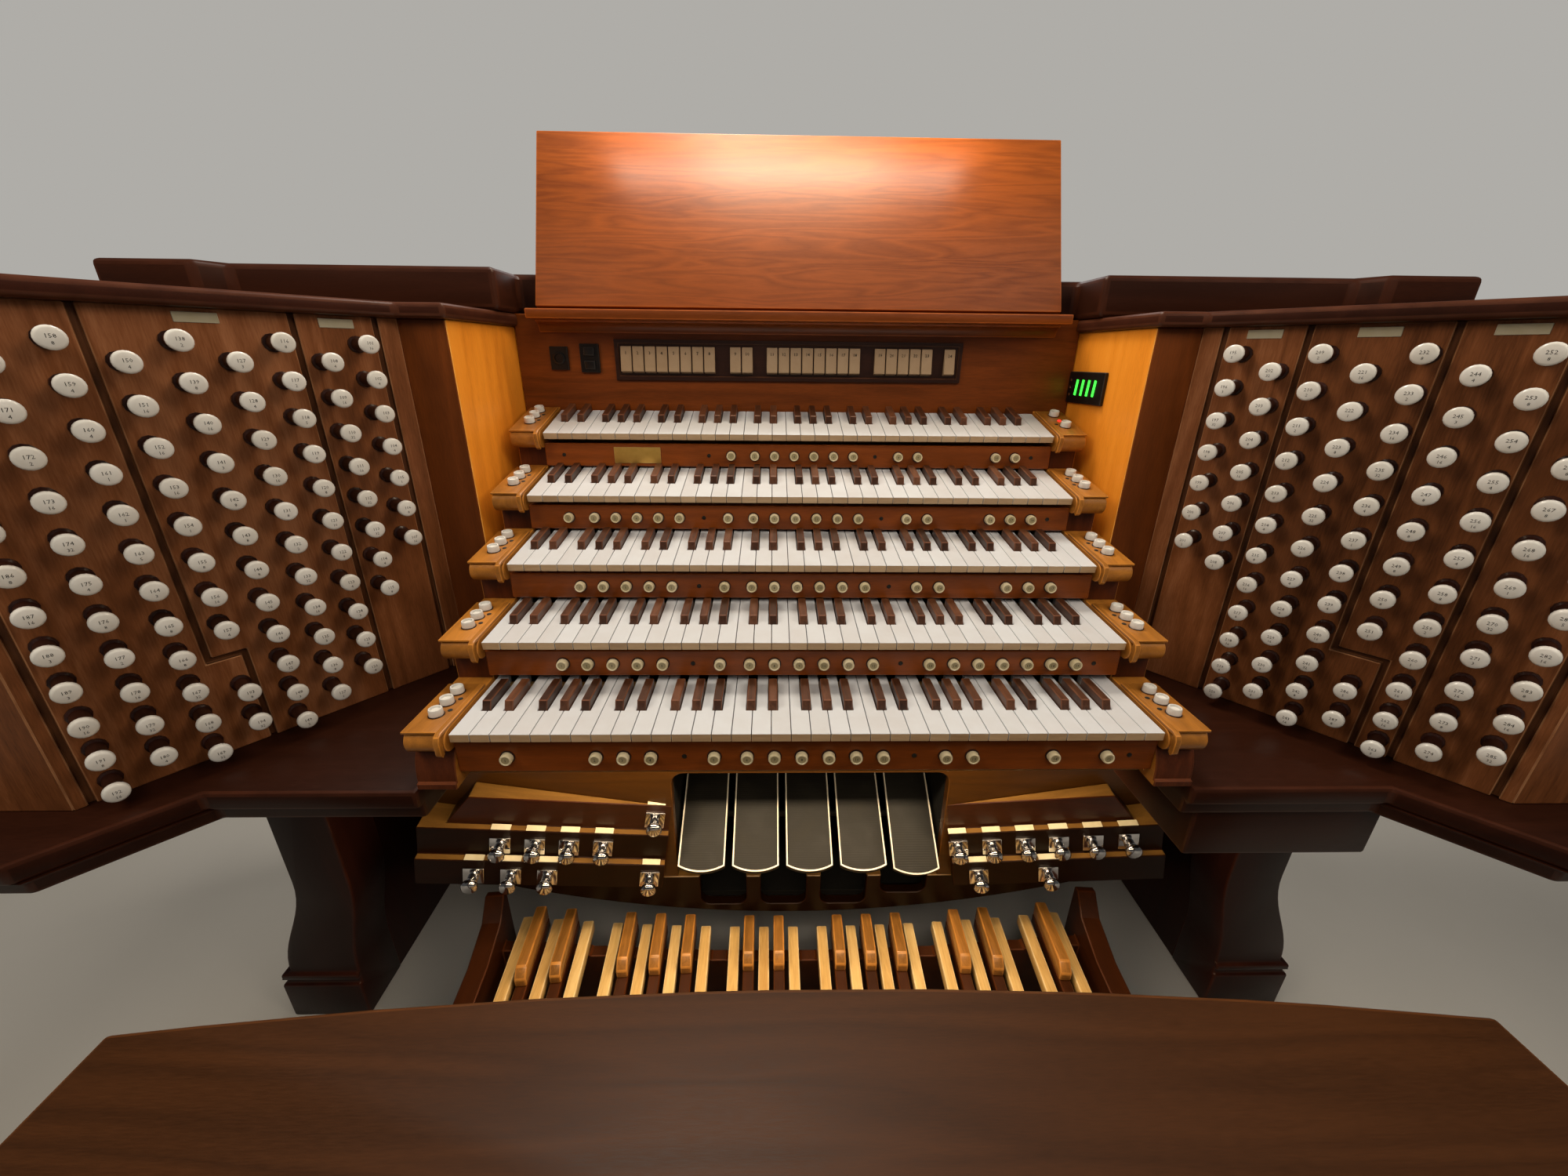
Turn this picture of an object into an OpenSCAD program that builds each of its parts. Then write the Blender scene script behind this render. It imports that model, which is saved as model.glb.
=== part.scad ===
// Console of a large church organ: five manuals, stop jambs, nameboard, music desk,
// expression shoes, pedalboard and bench. Millimetres, +Y away from the player, +Z up.

/* [Manuals] */
// Width of one octave of naturals
octave_w = 165; // [160:0.5:168]
// Height of the lowest manual's natural tops above the floor
key_z = 870; // [840:1:900]
// Height gained from the first manual to the second
rise = 65.5; // [64:0.5:72]
// Extra height gained at each further manual
rise_growth = 5.5; // [4.5:0.5:7]
// Setback from the first manual to the second
setback = 108; // [104:1:114]
// Setback lost at each further manual
setback_loss = 3; // [2:0.5:4]
// Tilt gained at each further manual, in degrees
tilt_step = 3.75; // [3:0.25:4]
// Thickness of a natural's front lip
key_h = 11; // [9:0.5:13]
// Gap between neighbouring keys
key_gap = 1; // [0.6:0.1:1.4]
// Width of a sharp
sharp_w = 11; // [9:0.5:12]
// Height of a sharp above the naturals
sharp_h = 11.5; // [9:0.5:13]
// Length of a natural in front of its notches
head_len = 50; // [45:1:55]
// Whole length of the naturals of manuals one to four
natural_len = 140; // [134:1:146]
// Length of the top manual's naturals, which end at the nameboard
top_natural_len = 108; // [100:1:112]
// Width of a key block beside the keys
block_w = 48; // [40:1:56]
// Gap between the last key and its key block
block_gap = 4; // [3:0.5:6]
// Height of a key block's rounded nose
nose_h = 30; // [26:1:32]
// Setback of a piston rail behind the key fronts
rail_setback = 12; // [8:1:16]
// Thickness of a piston rail
rail_t = 18; // [14:1:20]
// Height of a piston rail
rail_h = 38; // [34:1:39]
// Extra height of the lowest piston rail
low_rail_more = 7; // [4:1:10]
// Distance from the naturals' tops down to a piston rail
rail_drop = 18; // [16:1:20]
// Diameter of a thumb piston
piston_d = 15; // [12:1:17]
// Distance between thumb pistons of one group
piston_pitch = 33.3; // [31:0.1:33.5]

/* [Key table] */
// Height of the key table's top
table_z = 790; // [770:1:800]
// Thickness of the key table with its moulded edge
table_t = 47; // [40:1:52]
// Front edge of the key table, before the lowest manual's key fronts
table_front = 5; // [0:1:15]
// Sideways run of each wing's slanted front edge
wing_run = 105; // [85:1:120]
// Distance from a wing's outer corner to the side of the upper case
wing_corner_in = 215; // [200:1:225]
// Reach of the wings before the lowest manual's key fronts
wing_front = 115; // [100:1:125]
// Overhang of the key table beyond the upper case
table_overhang = 14; // [8:1:20]

/* [Case] */
// Half the width of the upper case
case_half_w = 1050; // [1020:1:1080]
// Back of the case, behind the lowest manual's key fronts
case_back_y = 745; // [720:1:780]
// Thickness of the case's panels
panel_t = 22; // [18:1:26]
// Height of the flat case tops
case_z = 1349; // [1340:1:1370]
// Thickness of the flat case tops
top_t = 20; // [18:1:26]
// Overhang of the case tops before the panels below
top_overhang = 18; // [12:1:24]
// Height of the crown behind the case tops
crown_z = 1411; // [1395:1:1440]
// Gap between a key block and the side wall at the nameboard
wall_gap = 14; // [10:0.5:20]
// Sideways splay of a side wall from the nameboard to its front edge
wall_splay = 14; // [10:0.5:25]
// Front face of the pilasters
pilaster_y = 326; // [318:1:334]
// Width of a pilaster
pilaster_w = 67; // [60:1:74]
// Angle of the stop jambs to the front, in degrees
jamb_angle = 52.5; // [50:0.5:54]
// Width of the plain strip beside a pilaster
strip_w = 28; // [22:1:34]
// Width of a stop jamb's panel
jamb_w = 425; // [418:1:435]
// Width of a division groove
groove_w = 7; // [5:0.5:9]
// Depth of a division groove
groove_d = 6; // [4:0.5:10]

/* [Drawknobs] */
// Distance between two columns of drawknobs
knob_dx = 45.2; // [43:0.1:46]
// Distance between two drawknobs of one column
knob_dz = 43.6; // [43:0.1:44.4]
// Height of the top row of drawknobs
knob_top_z = 1294; // [1290:1:1298]
// Distance from a jamb panel's inner edge to its first column
knob_inset = 28; // [24:1:30]
// Diameter of a drawknob's face
knob_d = 23; // [22:0.2:26]
// Reach of a drawknob from its panel
knob_len = 45; // [38:1:52]

/* [Nameboard and desk] */
// Front face of the nameboard
nameboard_y = 527; // [525:1:532]
// Height of the underside of the ledge's cove
cove_z = 1320; // [1315:1:1324]
// Gap between the end of the desk's ledge and a case top
desk_side_gap = 34; // [25:0.5:55]
// Reach of the ledge beyond the music desk's side
ledge_side = 6; // [4:0.5:10]
// Length of the music desk up its slope
desk_len = 293; // [260:1:320]
// Thickness of the music desk
desk_t = 16; // [12:1:20]
// Lean of the music desk from upright, in degrees
desk_lean = 21.8; // [18:0.2:24]
// Depth of the ledge before the music desk
ledge_d = 32; // [26:1:38]
// Width of a rocker tab
tab_w = 18.5; // [16:0.5:19.5]
// Height of a rocker tab
tab_h = 44; // [38:1:48]

/* [Shoes and toe studs] */
// Sideways place of the middle expression shoe
shoe_x = 30; // [0:1:40]
// Distance between two expression shoes
shoe_pitch = 108.5; // [106:0.5:109]
// Width of an expression shoe
shoe_w = 93; // [90:1:99]
// Radius of the arc at a shoe's heel
heel_r = 100; // [90:1:110]
// Length of an expression shoe
shoe_len = 280; // [260:1:290]
// Thickness of an expression shoe
shoe_t = 14; // [12:1:18]
// Tilt of the four swell shoes, toe end up, in degrees
shoe_tilt = 26; // [22:1:28]
// Tilt of the crescendo shoe, toe end up, in degrees
crescendo_tilt = 32; // [30:1:34]
// Height of the shoes' shaft
shaft_z = 354; // [350:1:358]
// Shaft's place behind the lowest manual's key fronts
shaft_y = 436; // [432:1:442]
// Diameter of the shoes' shaft
shaft_d = 14; // [12:1:16]
// Radial running clearance of a shoe on its shaft
shaft_clear = 0.1; // [0.05:0.01:0.1]
// Clearance between the outer shoes and the sides of their recess
shoe_side_clear = 8.5; // [6:0.5:12]
// Front face of the knee panel
knee_y = 345; // [340:1:350]
// Half the width of the knee panel
knee_half_w = 700; // [680:1:740]
// Height of the top tier at its inner end
tier_z = 456; // [445:1:470]
// Height of one tier of the toe boards
tier_h = 62; // [58:1:66]
// Depth of one tread of the toe boards
tread_d = 15; // [12:1:18]
// Turn of the toe boards towards the player, in degrees
toe_turn = 6.6; // [5:0.2:8]
// Rise of the toe boards towards their outer ends, in degrees
toe_rise = 9.5; // [7:0.5:10]

/* [Pedalboard] */
// Distance between two natural pedals at their far ends
pedal_pitch = 62.5; // [62:0.5:66]
// Width of a pedal
pedal_w = 22; // [20:0.5:24]
// Height of the middle natural pedal above the floor
pedal_z = 135; // [128:1:142]
// Height of the sharp pedals above the naturals
pedal_sharp_h = 34; // [30:1:44]
// Radius of the pedalboard's hollow
pedal_radius = 4400; // [4200:50:5000]
// Distance from the pedals' far ends to the point in front of which they would all meet
pedal_spread = 8000; // [6000:100:12000]
// Far end of the pedals, behind the key fronts
pedal_far_y = 336; // [332:1:341]
// Length of a natural pedal
pedal_len = 690; // [660:5:700]
// Length of the middle sharp pedal's raised block
pedal_sharp_len = 100; // [90:1:120]
// Radius of the arc on which the raised blocks' near ends lie
sharp_arc = 2900; // [2600:50:3400]

/* [Bench] */
// Height of the bench
bench_z = 656; // [610:1:680]
// Length of the bench
bench_len = 1404; // [1400:2:1460]
// Depth of the bench at its ends
bench_d = 350; // [330:5:380]
// Thickness of the bench top
bench_t = 36; // [28:1:42]
// Bow of the bench's console side
bench_bow = 38; // [20:1:50]
// Gap from the bench's bow to the key fronts
bench_gap = 153; // [140:1:170]
// Thickness of the bench's ends
bench_end_t = 34; // [28:1:40]

/* [Base] */
// Distance from a leg's outer face in to the side of the upper case
leg_inset = 104; // [90:1:120]
// Width of a leg
leg_w = 106; // [95:1:115]
// Front face of the legs
leg_y = 256; // [246:1:270]
// Depth of a leg
leg_d = 100; // [80:1:120]
// Height of a plinth with its moulding
plinth_h = 118; // [105:1:130]

/* [Hidden] */
$fn = 48;
manual_count = 5;
seat = 0.3;
octave_naturals = 7;
natural_count = 36;
natural_pitch = octave_w / octave_naturals;
keys_half_w = natural_count * natural_pitch / 2;
block_x = keys_half_w + block_gap;
blocks_half_w = block_x + block_w;
nameboard_half_w = blocks_half_w + wall_gap;
wall_x = nameboard_half_w + wall_splay;
ledge_half_w = nameboard_half_w - top_overhang / 2 - desk_side_gap;
desk_w = 2 * (ledge_half_w - ledge_side);
recess_half_w = 2 * shoe_pitch + shoe_w / 2 + shoe_side_clear;
leg_outer_x = case_half_w - leg_inset;
wing_corner_x = case_half_w - wing_corner_in;
table_corner_x = wing_corner_x - wing_run;
// Sideways place of each sharp from the gap that it stands in, by the natural on its left
sharp_shift = [-2, 2, undef, -3, 0, 3, undef];
// Half depth of the whole, so that the origin is under the middle of its outline
bench_front_y = -(bench_gap + bench_bow + bench_d);
frame_y = (bench_front_y + case_back_y) / 2;

function man_y(i) = i * setback - setback_loss * i * (i - 1) / 2;
function man_z(i) = key_z + i * rise + rise_growth * i * (i - 1) / 2;
function man_tilt(i) = tilt_step * i;
function key_len(i) = i == manual_count - 1 ? top_natural_len : natural_len;
// A point given along and above a manual's key plane, in the console's side view
function on_manual(i, y, z) = [man_y(i) + y * cos(man_tilt(i)) - z * sin(man_tilt(i)),
                               man_z(i) + y * sin(man_tilt(i)) + z * cos(man_tilt(i))];
function has_sharp(n) = n >= 0 && n < natural_count - 1 && !is_undef(sharp_shift[n % octave_naturals]);
function sharp_x(n) = (n + 1) * natural_pitch + sharp_shift[n % octave_naturals];

module placed() {
    translate([0, -frame_y, 0]) children();
}

module both_sides() {
    children();
    mirror([1, 0, 0]) children();
}

module both_sides_2d() {
    children();
    mirror([1, 0]) children();
}

module on_key_plane(i) {
    translate([0, man_y(i), man_z(i)]) rotate([man_tilt(i), 0, 0]) children();
}

// Extrudes a side-view outline, given as y and z, from x0 to x1
module side_profile(x0, x1) {
    translate([x0, 0, 0]) rotate([90, 0, 90]) linear_extrude(x1 - x0) children();
}

// Keys

function natural_outline(n, len) =
    let (x0 = n * natural_pitch + key_gap / 2,
         x1 = (n + 1) * natural_pitch - key_gap / 2,
         side = sharp_w / 2 + key_gap,
         cut0 = has_sharp(n - 1) ? sharp_x(n - 1) + side : x0,
         cut1 = has_sharp(n) ? sharp_x(n) - side : x1)
    concat([[x0, 0], [x1, 0]],
           has_sharp(n) ? [[x1, head_len], [cut1, head_len]] : [],
           [[cut1, len], [cut0, len]],
           has_sharp(n - 1) ? [[cut0, head_len], [x0, head_len]] : []);

module naturals() {
    color("ivory") placed()
        for (i = [0:manual_count - 1])
            on_key_plane(i) translate([-keys_half_w, 0, -key_h])
                for (n = [0:natural_count - 1])
                    linear_extrude(key_h) polygon(natural_outline(n, key_len(i)));
}

// Sharps reach back to the next manual's key fronts, and a little beyond
function sharp_back(i) = (i == manual_count - 1 ? top_natural_len : setback) + 2;

module sharps() {
    front = head_len + key_gap;
    slope = 5;
    color("saddlebrown") placed()
        for (i = [0:manual_count - 1])
            on_key_plane(i) translate([-keys_half_w, 0, 0])
                for (n = [0:natural_count - 2])
                    if (has_sharp(n))
                        side_profile(sharp_x(n) - sharp_w / 2, sharp_x(n) + sharp_w / 2)
                            polygon([[front, -key_h], [sharp_back(i), -key_h], [sharp_back(i), sharp_h],
                                     [front + slope, sharp_h], [front, 0]]);
}

module key_beds() {
    bed_t = 16;
    bed_front = rail_setback + rail_t + 2;
    color("burlywood") placed() {
        for (i = [1:manual_count - 1])
            on_key_plane(i)
                translate([-block_x, bed_front, -key_h - bed_t])
                    cube([2 * block_x, key_len(i) - bed_front, bed_t]);
        translate([-block_x, bed_front, table_z])
            cube([2 * block_x, natural_len - bed_front, key_z - key_h - table_z]);
    }
}

// Side view of one key block: a slice from its nose to the next manual's riser
function block_back(i) = i == manual_count - 1 ? nameboard_y - seat : man_y(i + 1) + riser_in;
riser_in = 22;
block_top = 2;
nose_out = 4;

module key_block_outline(i) {
    t = man_tilt(i);
    back_len = (block_back(i) - man_y(i)) / cos(t) + block_top * tan(t);
    front = on_manual(i, -nose_out + nose_h / 2, block_top);
    back = on_manual(i, back_len, block_top);
    riser = man_y(i) + riser_in + seat;
    nose_bottom = front[1] - nose_h;
    polygon([front, back, [back[0], table_z], [riser, table_z], [riser, nose_bottom],
             [front[0], nose_bottom]]);
    translate([front[0], front[1] - nose_h / 2]) circle(d = nose_h);
    if (i == 0)
        block_foot_outline(riser, nose_bottom);
}

// Hollow-fronted foot between the lowest nose and the key table, with a small lip
module block_foot_outline(back, top) {
    lip_y = 0;
    lip_h = 9;
    steps = 8;
    polygon(concat([[back, table_z], [lip_y, table_z], [lip_y, table_z + lip_h]],
                   [for (k = [0:steps])
                        let (f = k / steps)
                            [lip_y + 3 + (back - lip_y - 3) * (1 - cos(90 * f)),
                             table_z + lip_h + (top - table_z - lip_h) * sin(90 * f)]]));
}

module key_blocks() {
    color("peru") placed() both_sides()
        for (i = [0:manual_count - 1])
            side_profile(block_x, blocks_half_w) key_block_outline(i);
}

function rail_height(i) = i == 0 ? rail_h + low_rail_more : rail_h;
function rail_top(i) = man_z(i) - rail_drop;

module piston_rails() {
    color("sienna") placed()
        for (i = [0:manual_count - 1])
            translate([-block_x, man_y(i) + rail_setback, rail_top(i) - rail_height(i)])
                cube([2 * block_x, rail_t, rail_height(i)]);
}

// Thumb pistons of one group, in steps of the pitch from the middle of the keys
middle_group = [-3.5, -2.3, -1.3, -0.3, 0.7, 1.7, 2.7];
left_group = [-9.8, -8.8, -7.8, -6.8, -5.8];
right_pair = [5, 6];
piston_rows = [
    concat([-11, -7.8, -6.8, -5.8], middle_group, right_pair, [9, 11]),
    concat(left_group, middle_group, right_pair, [7, 8, 9, 10, 11]),
    concat(left_group, middle_group, right_pair, [9, 10, 11]),
    concat([-11], left_group, middle_group, right_pair, [9, 10, 11]),
    concat(middle_group, right_pair, [10, 11])];
piston_reach = 9;

module thumb_pistons() {
    color("white") placed()
        for (i = [0:manual_count - 1], k = piston_rows[i])
            translate([k * piston_pitch, man_y(i) + rail_setback, rail_top(i) - rail_height(i) / 2])
                rotate([90, 0, 0]) cylinder(d = piston_d, h = piston_reach);
}

module block_knobs() {
    knob_r = 8.5;
    knob_h = 12;
    count = 3;
    spacing = 26;
    first = 34;
    color("white") placed() both_sides()
        for (i = [0:manual_count - 1], k = [0:count - 1])
            on_key_plane(i)
                translate([block_x + block_w * 0.54, first + k * spacing, block_top])
                    cylinder(r1 = knob_r, r2 = knob_r - 0.5, h = knob_h);
}

// Case

// Unit vectors along and out of the right-hand stop jamb, in plan
jamb_along = [cos(jamb_angle), -sin(jamb_angle)];
jamb_out = [-sin(jamb_angle), -cos(jamb_angle)];
pilaster_end = [wall_x + pilaster_w, pilaster_y];
jamb_start = pilaster_end + strip_w * jamb_along;
jamb_end = jamb_start + jamb_w * jamb_along;
// Sideways set of a jamb panel's back corner, where two panels meet in a mitre
mitre = panel_t * tan(jamb_angle / 2);
jamb_h = case_z - top_t - table_z;

module table_outline(inset) {
    side = case_half_w + table_overhang - inset;
    front = -table_front + inset;
    wing = -wing_front + inset;
    notch = blocks_half_w + seat;
    half = [[notch, rail_setback + rail_t + 60], [notch, front], [table_corner_x - inset / 2, front],
            [wing_corner_x - inset / 2, wing], [side, wing], [side, case_back_y], [0, case_back_y],
            [0, rail_setback + rail_t + 60]];
    both_sides_2d() polygon(half);
}

module key_table() {
    lip = 26;
    step = 9;
    color("#3a2018") placed() {
        translate([0, 0, table_z - lip]) linear_extrude(lip) table_outline(0);
        translate([0, 0, table_z - table_t]) linear_extrude(table_t - lip) table_outline(step);
    }
}

// Sideways swing of a leg's foot on its outer and inner face
foot_out = 90;
foot_in = 40;

module leg_shape() {
    top = table_z - table_t;
    outer = leg_outer_x;
    inner = leg_outer_x - leg_w;
    bend = 240;
    steps = 12;
    sway = [for (k = [0:steps]) let (f = k / steps) [f, (1 - cos(180 * f)) / 2]];
    polygon(concat([[inner, top], [outer, top]],
                   [for (s = sway) [outer + foot_out * 0.8 * s[1], plinth_h + bend * (1 - s[0])]],
                   [for (k = [steps:-1:0])
                       [inner + foot_in * sway[k][1], plinth_h + bend * (1 - sway[k][0])]]));
}

module legs() {
    x0 = leg_outer_x - leg_w + foot_in;
    x1 = leg_outer_x + foot_out;
    ring = 14;
    color("#3a2018") placed() both_sides() {
        translate([0, leg_y + leg_d, 0]) rotate([90, 0, 0]) linear_extrude(leg_d) leg_shape();
        translate([x0, leg_y - 8, 0]) cube([x1 - x0, leg_d + 8, plinth_h - 2 * ring]);
        translate([x0, leg_y - 2, plinth_h - 2 * ring]) cube([x1 - x0 - 6, leg_d + 2, ring]);
        translate([x0, leg_y - 8, plinth_h - ring]) cube([x1 - x0 - 4, leg_d + 8, ring]);
    }
}

module side_panels() {
    x0 = leg_outer_x - leg_w / 2;
    color("#3a2018") placed() both_sides()
        translate([x0 - panel_t / 2, leg_y + leg_d, 0])
            cube([panel_t, case_back_y - panel_t - leg_y - leg_d, table_z - table_t]);
}

module case_back() {
    color("#3a2018") placed() {
        translate([-case_half_w, case_back_y - panel_t, table_z])
            cube([2 * case_half_w, panel_t, case_z - top_t - table_z]);
        x0 = leg_outer_x - leg_w / 2 + panel_t / 2;
        translate([-x0, case_back_y - panel_t, 0])
            cube([2 * x0, panel_t, table_z - table_t]);
    }
}

// Outer stiles turned to the player, and the sides of the upper case behind them
module upper_sides() {
    stile_y = jamb_end[1];
    color("#6b3e22") placed() both_sides()
        translate([0, 0, table_z]) linear_extrude(jamb_h)
            polygon([jamb_end, [case_half_w, stile_y],
                     [case_half_w, case_back_y - panel_t], [case_half_w - panel_t, case_back_y - panel_t],
                     [case_half_w - panel_t, stile_y + panel_t], [jamb_end[0] + mitre, stile_y + panel_t]]);
}

function tower_outline(out) = [
    [nameboard_half_w, case_back_y],
    [nameboard_half_w, nameboard_y - seat],
    [nameboard_half_w - out / 2, nameboard_y - seat],
    [wall_x - out / 2, pilaster_y - out],
    [pilaster_end[0] - out * 0.6, pilaster_end[1] - out],
    jamb_end + out * jamb_out + [0, -out * 0.3],
    [case_half_w + out * 0.6, jamb_end[1] - out],
    [case_half_w + out * 0.6, case_back_y]];

module case_tops() {
    color("#3a2018") placed() both_sides()
        translate([0, 0, case_z - top_t]) linear_extrude(top_t) polygon(tower_outline(top_overhang));
}

module crown() {
    outer_y = 412;
    main_y = 452;
    centre_y = desk_y + (crown_z - ledge_z - ledge_t) * tan(desk_lean) + desk_t / cos(desk_lean) + seat;
    outer_x = 905;
    outer_x2 = 882;
    inner_x = 480;
    color("#3a2018") placed()
        translate([0, 0, case_z]) linear_extrude(crown_z - case_z) both_sides_2d()
            polygon([[0, centre_y], [inner_x, centre_y], [inner_x, main_y], [outer_x2, main_y],
                     [outer_x, outer_y], [case_half_w, outer_y], [case_half_w, case_back_y],
                     [0, case_back_y]]);
}

// A stop jamb's panel in its own plane: x along it from its inner edge, z up from the table
module on_jamb(side) {
    mirror([side < 0 ? 1 : 0, 0, 0])
        translate([jamb_start[0], jamb_start[1], table_z]) rotate([0, 0, -jamb_angle]) children();
}

// grooves lists upright grooves as place, bottom and top; the step joins two of them level
module jamb_panel(side, grooves, step) {
    color("#6b3e22") placed() on_jamb(side) difference() {
        linear_extrude(jamb_h)
            polygon([[-strip_w, 0], [jamb_w, 0], [jamb_w - mitre, panel_t], [-strip_w - mitre, panel_t]]);
        for (g = grooves)
            translate([g[0] - groove_w / 2, -1, g[1]]) cube([groove_w, groove_d + 1, g[2] - g[1]]);
        translate([step[0] - groove_w / 2, -1, step_z])
            cube([step[1] - step[0] + groove_w, groove_d + 1, groove_w]);
    }
}

step_z = 126;

// Place along a jamb of an upright groove, counted in columns of drawknobs from the first
function groove_at(c) = knob_inset + c * knob_dx;

module jambs() {
    jamb_panel(-1, [[0, -1, jamb_h + 1], [groove_at(1.44), -1, jamb_h + 1],
                    [groove_at(5.46), step_z, jamb_h + 1], [groove_at(4.69), -1, step_z + groove_w],
                    [groove_at(8.45), -1, jamb_h + 1]], [groove_at(4.69), groove_at(5.46)]);
    jamb_panel(1, [[0, -1, jamb_h + 1], [groove_at(1.44), -1, jamb_h + 1],
                   [groove_at(4.36), step_z, jamb_h + 1], [groove_at(5.51), -1, step_z + groove_w],
                   [groove_at(6.37), -1, jamb_h + 1], [groove_at(8.45), -1, jamb_h + 1]],
               [groove_at(4.36), groove_at(5.51)]);
}

// How many drawknobs stand in each column, from the inner column outwards
left_counts = [7, 8, 11, 11, 12, 8, 12, 11, 12];
right_counts = [7, 7, 12, 11, 12, 8, 12, 11, 11];
// The two lone drawknobs below the step of the division groove: their column and rows
lone_column = 5;
lone_rows = [9, 10];

module drawknob() {
    shank_d = 16;
    collar_d = 21;
    face_t = 7;
    rotate([90, 0, 0]) {
        cylinder(d = collar_d, h = 5);
        cylinder(d = shank_d, h = knob_len - face_t);
        translate([0, 0, knob_len - face_t - 6]) cylinder(d1 = shank_d, d2 = knob_d - 3, h = 6);
        translate([0, 0, knob_len - face_t]) cylinder(d = knob_d, h = face_t);
    }
}

// Place of a drawknob on its jamb, by column and row; odd columns stand half a row lower
module at_knob(c, r) {
    translate([knob_inset + c * knob_dx, 0, knob_top_z - table_z - (r + (c % 2) / 2) * knob_dz]) children();
}

module jamb_knobs(side, counts) {
    on_jamb(side) {
        for (c = [0:len(counts) - 1], r = [0:counts[c] - 1])
            at_knob(c, r) drawknob();
        for (r = lone_rows)
            at_knob(lone_column, r) drawknob();
    }
}

module drawknobs() {
    color("white") placed() {
        jamb_knobs(-1, left_counts);
        jamb_knobs(1, right_counts);
    }
}

module pilasters() {
    back = pilaster_y + panel_t;
    color("#4a2a18") placed() both_sides()
        translate([0, 0, table_z]) linear_extrude(jamb_h)
            polygon([[wall_x, pilaster_y], pilaster_end, [pilaster_end[0] + mitre, back],
                     [wall_x + panel_t, back]]);
}

module side_walls() {
    color("orange") placed() both_sides()
        translate([0, 0, table_z]) linear_extrude(jamb_h)
            polygon([[wall_x, pilaster_y], [wall_x + panel_t, pilaster_y + panel_t],
                     [nameboard_half_w + panel_t, nameboard_y + panel_t],
                     [nameboard_half_w, nameboard_y + panel_t]]);
}

// Nameboard, tabs and desk

module nameboard() {
    bottom = man_z(manual_count - 1) - rail_h;
    color("sienna") placed()
        translate([-nameboard_half_w + seat, nameboard_y, bottom])
            cube([2 * (nameboard_half_w - seat), panel_t, case_z - bottom]);
}

tray_x0 = -322;
tray_x1 = 287;
tray_z0 = 1244;
tray_z1 = 1311;

// Switch plates left of the tabs: left edge, lower edge, width and height
switch_plates = [[-434, 1260, 31, 38], [-382, 1256, 33, 47]];

module tab_tray() {
    rim = 7;
    depth = 5;
    back = 2;
    color("#241511") placed() {
        translate([tray_x0, nameboard_y - depth, tray_z0]) difference() {
            cube([tray_x1 - tray_x0, depth, tray_z1 - tray_z0]);
            translate([rim, -1, rim])
                cube([tray_x1 - tray_x0 - 2 * rim, depth - back + 1, tray_z1 - tray_z0 - 2 * rim]);
        }
        for (p = switch_plates)
            translate([p[0], nameboard_y - depth, p[1]]) cube([p[2], depth, p[3]]);
    }
}

tab_groups = [[-311, 8], [-121, 2], [-57, 8], [132, 5], [255, 1]];
tab_pitch = 20.7;

module rocker_tabs() {
    z0 = (tray_z0 + tray_z1) / 2 - tab_h / 2;
    back = 2;
    thick = 7;
    color("white") placed()
        for (g = tab_groups, k = [0:g[1] - 1])
            translate([g[0] + k * tab_pitch, nameboard_y - back, z0])
                side_profile(0, tab_w)
                    polygon([[0, 0], [-thick - 3, 3], [-thick, tab_h / 2], [-thick + 3, tab_h], [0, tab_h]]);
}

module level_display() {
    y0 = 420;
    y1 = nameboard_y - 1;
    z0 = 1214;
    z1 = 1266;
    t = 6;
    slope = (wall_x - nameboard_half_w) / (nameboard_y + panel_t - pilaster_y);
    back0 = wall_x - (y0 - pilaster_y) * slope - seat;
    back1 = wall_x - (y1 - pilaster_y) * slope - seat;
    color("black") placed()
        translate([0, 0, z0]) linear_extrude(z1 - z0)
            polygon([[back0, y0], [back0 - t, y0], [back1 - t, y1], [back1, y1]]);
}

desk_y = 500;
ledge_z = 1339;
ledge_t = 15;

module desk_ledge() {
    half = ledge_half_w;
    cove_r = ledge_z - cove_z;
    color("sienna") placed() {
        translate([-half, desk_y - ledge_d, ledge_z])
            cube([2 * half, nameboard_y - desk_y + ledge_d, ledge_t]);
        side_profile(-half, half) difference() {
            translate([nameboard_y - cove_r, ledge_z - cove_r]) square([cove_r, cove_r + 0.01]);
            translate([nameboard_y - cove_r, ledge_z - cove_r]) circle(r = cove_r - 3);
        }
    }
}

module music_desk() {
    color("#9c5428") placed()
        translate([0, desk_y, ledge_z + ledge_t]) rotate([-desk_lean, 0, 0])
            translate([-desk_w / 2, 0, desk_t * tan(desk_lean)])
                cube([desk_w, desk_t, desk_len]);
}

// Knee space

recess_top = 534;
recess_r = 25;

knee_bottom = tier_z - 3 * tier_h;

module knee_panel() {
    bottom = knee_bottom;
    color("sienna") placed() difference() {
        translate([-knee_half_w, knee_y, bottom])
            cube([2 * knee_half_w, panel_t, table_z - table_t - bottom]);
        translate([shoe_x, knee_y - 1, 0]) rotate([-90, 0, 0]) mirror([0, 1, 0])
            linear_extrude(panel_t + 2) {
                translate([-recess_half_w, bottom - 1])
                    square([2 * recess_half_w, recess_top - recess_r - bottom + 1]);
                translate([-recess_half_w + recess_r, recess_top - recess_r - 1])
                    square([2 * (recess_half_w - recess_r), recess_r + 1]);
                for (s = [-1, 1])
                    translate([s * (recess_half_w - recess_r), recess_top - recess_r]) circle(r = recess_r);
            }
    }
}

// Lengths of the three tiers, from the middle of the recess's edges
toe_len = [345, 432, 432];
// Outward slant of the top tier's end
tier_slant = 40;
// The toe boards' own frame: inner end at the knee panel, turned and raised outwards
module on_toe_board(x0) {
    translate([x0, knee_y - seat, tier_z]) rotate([0, -toe_rise, 0])
        rotate([0, 0, -toe_turn]) children();
}

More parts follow.
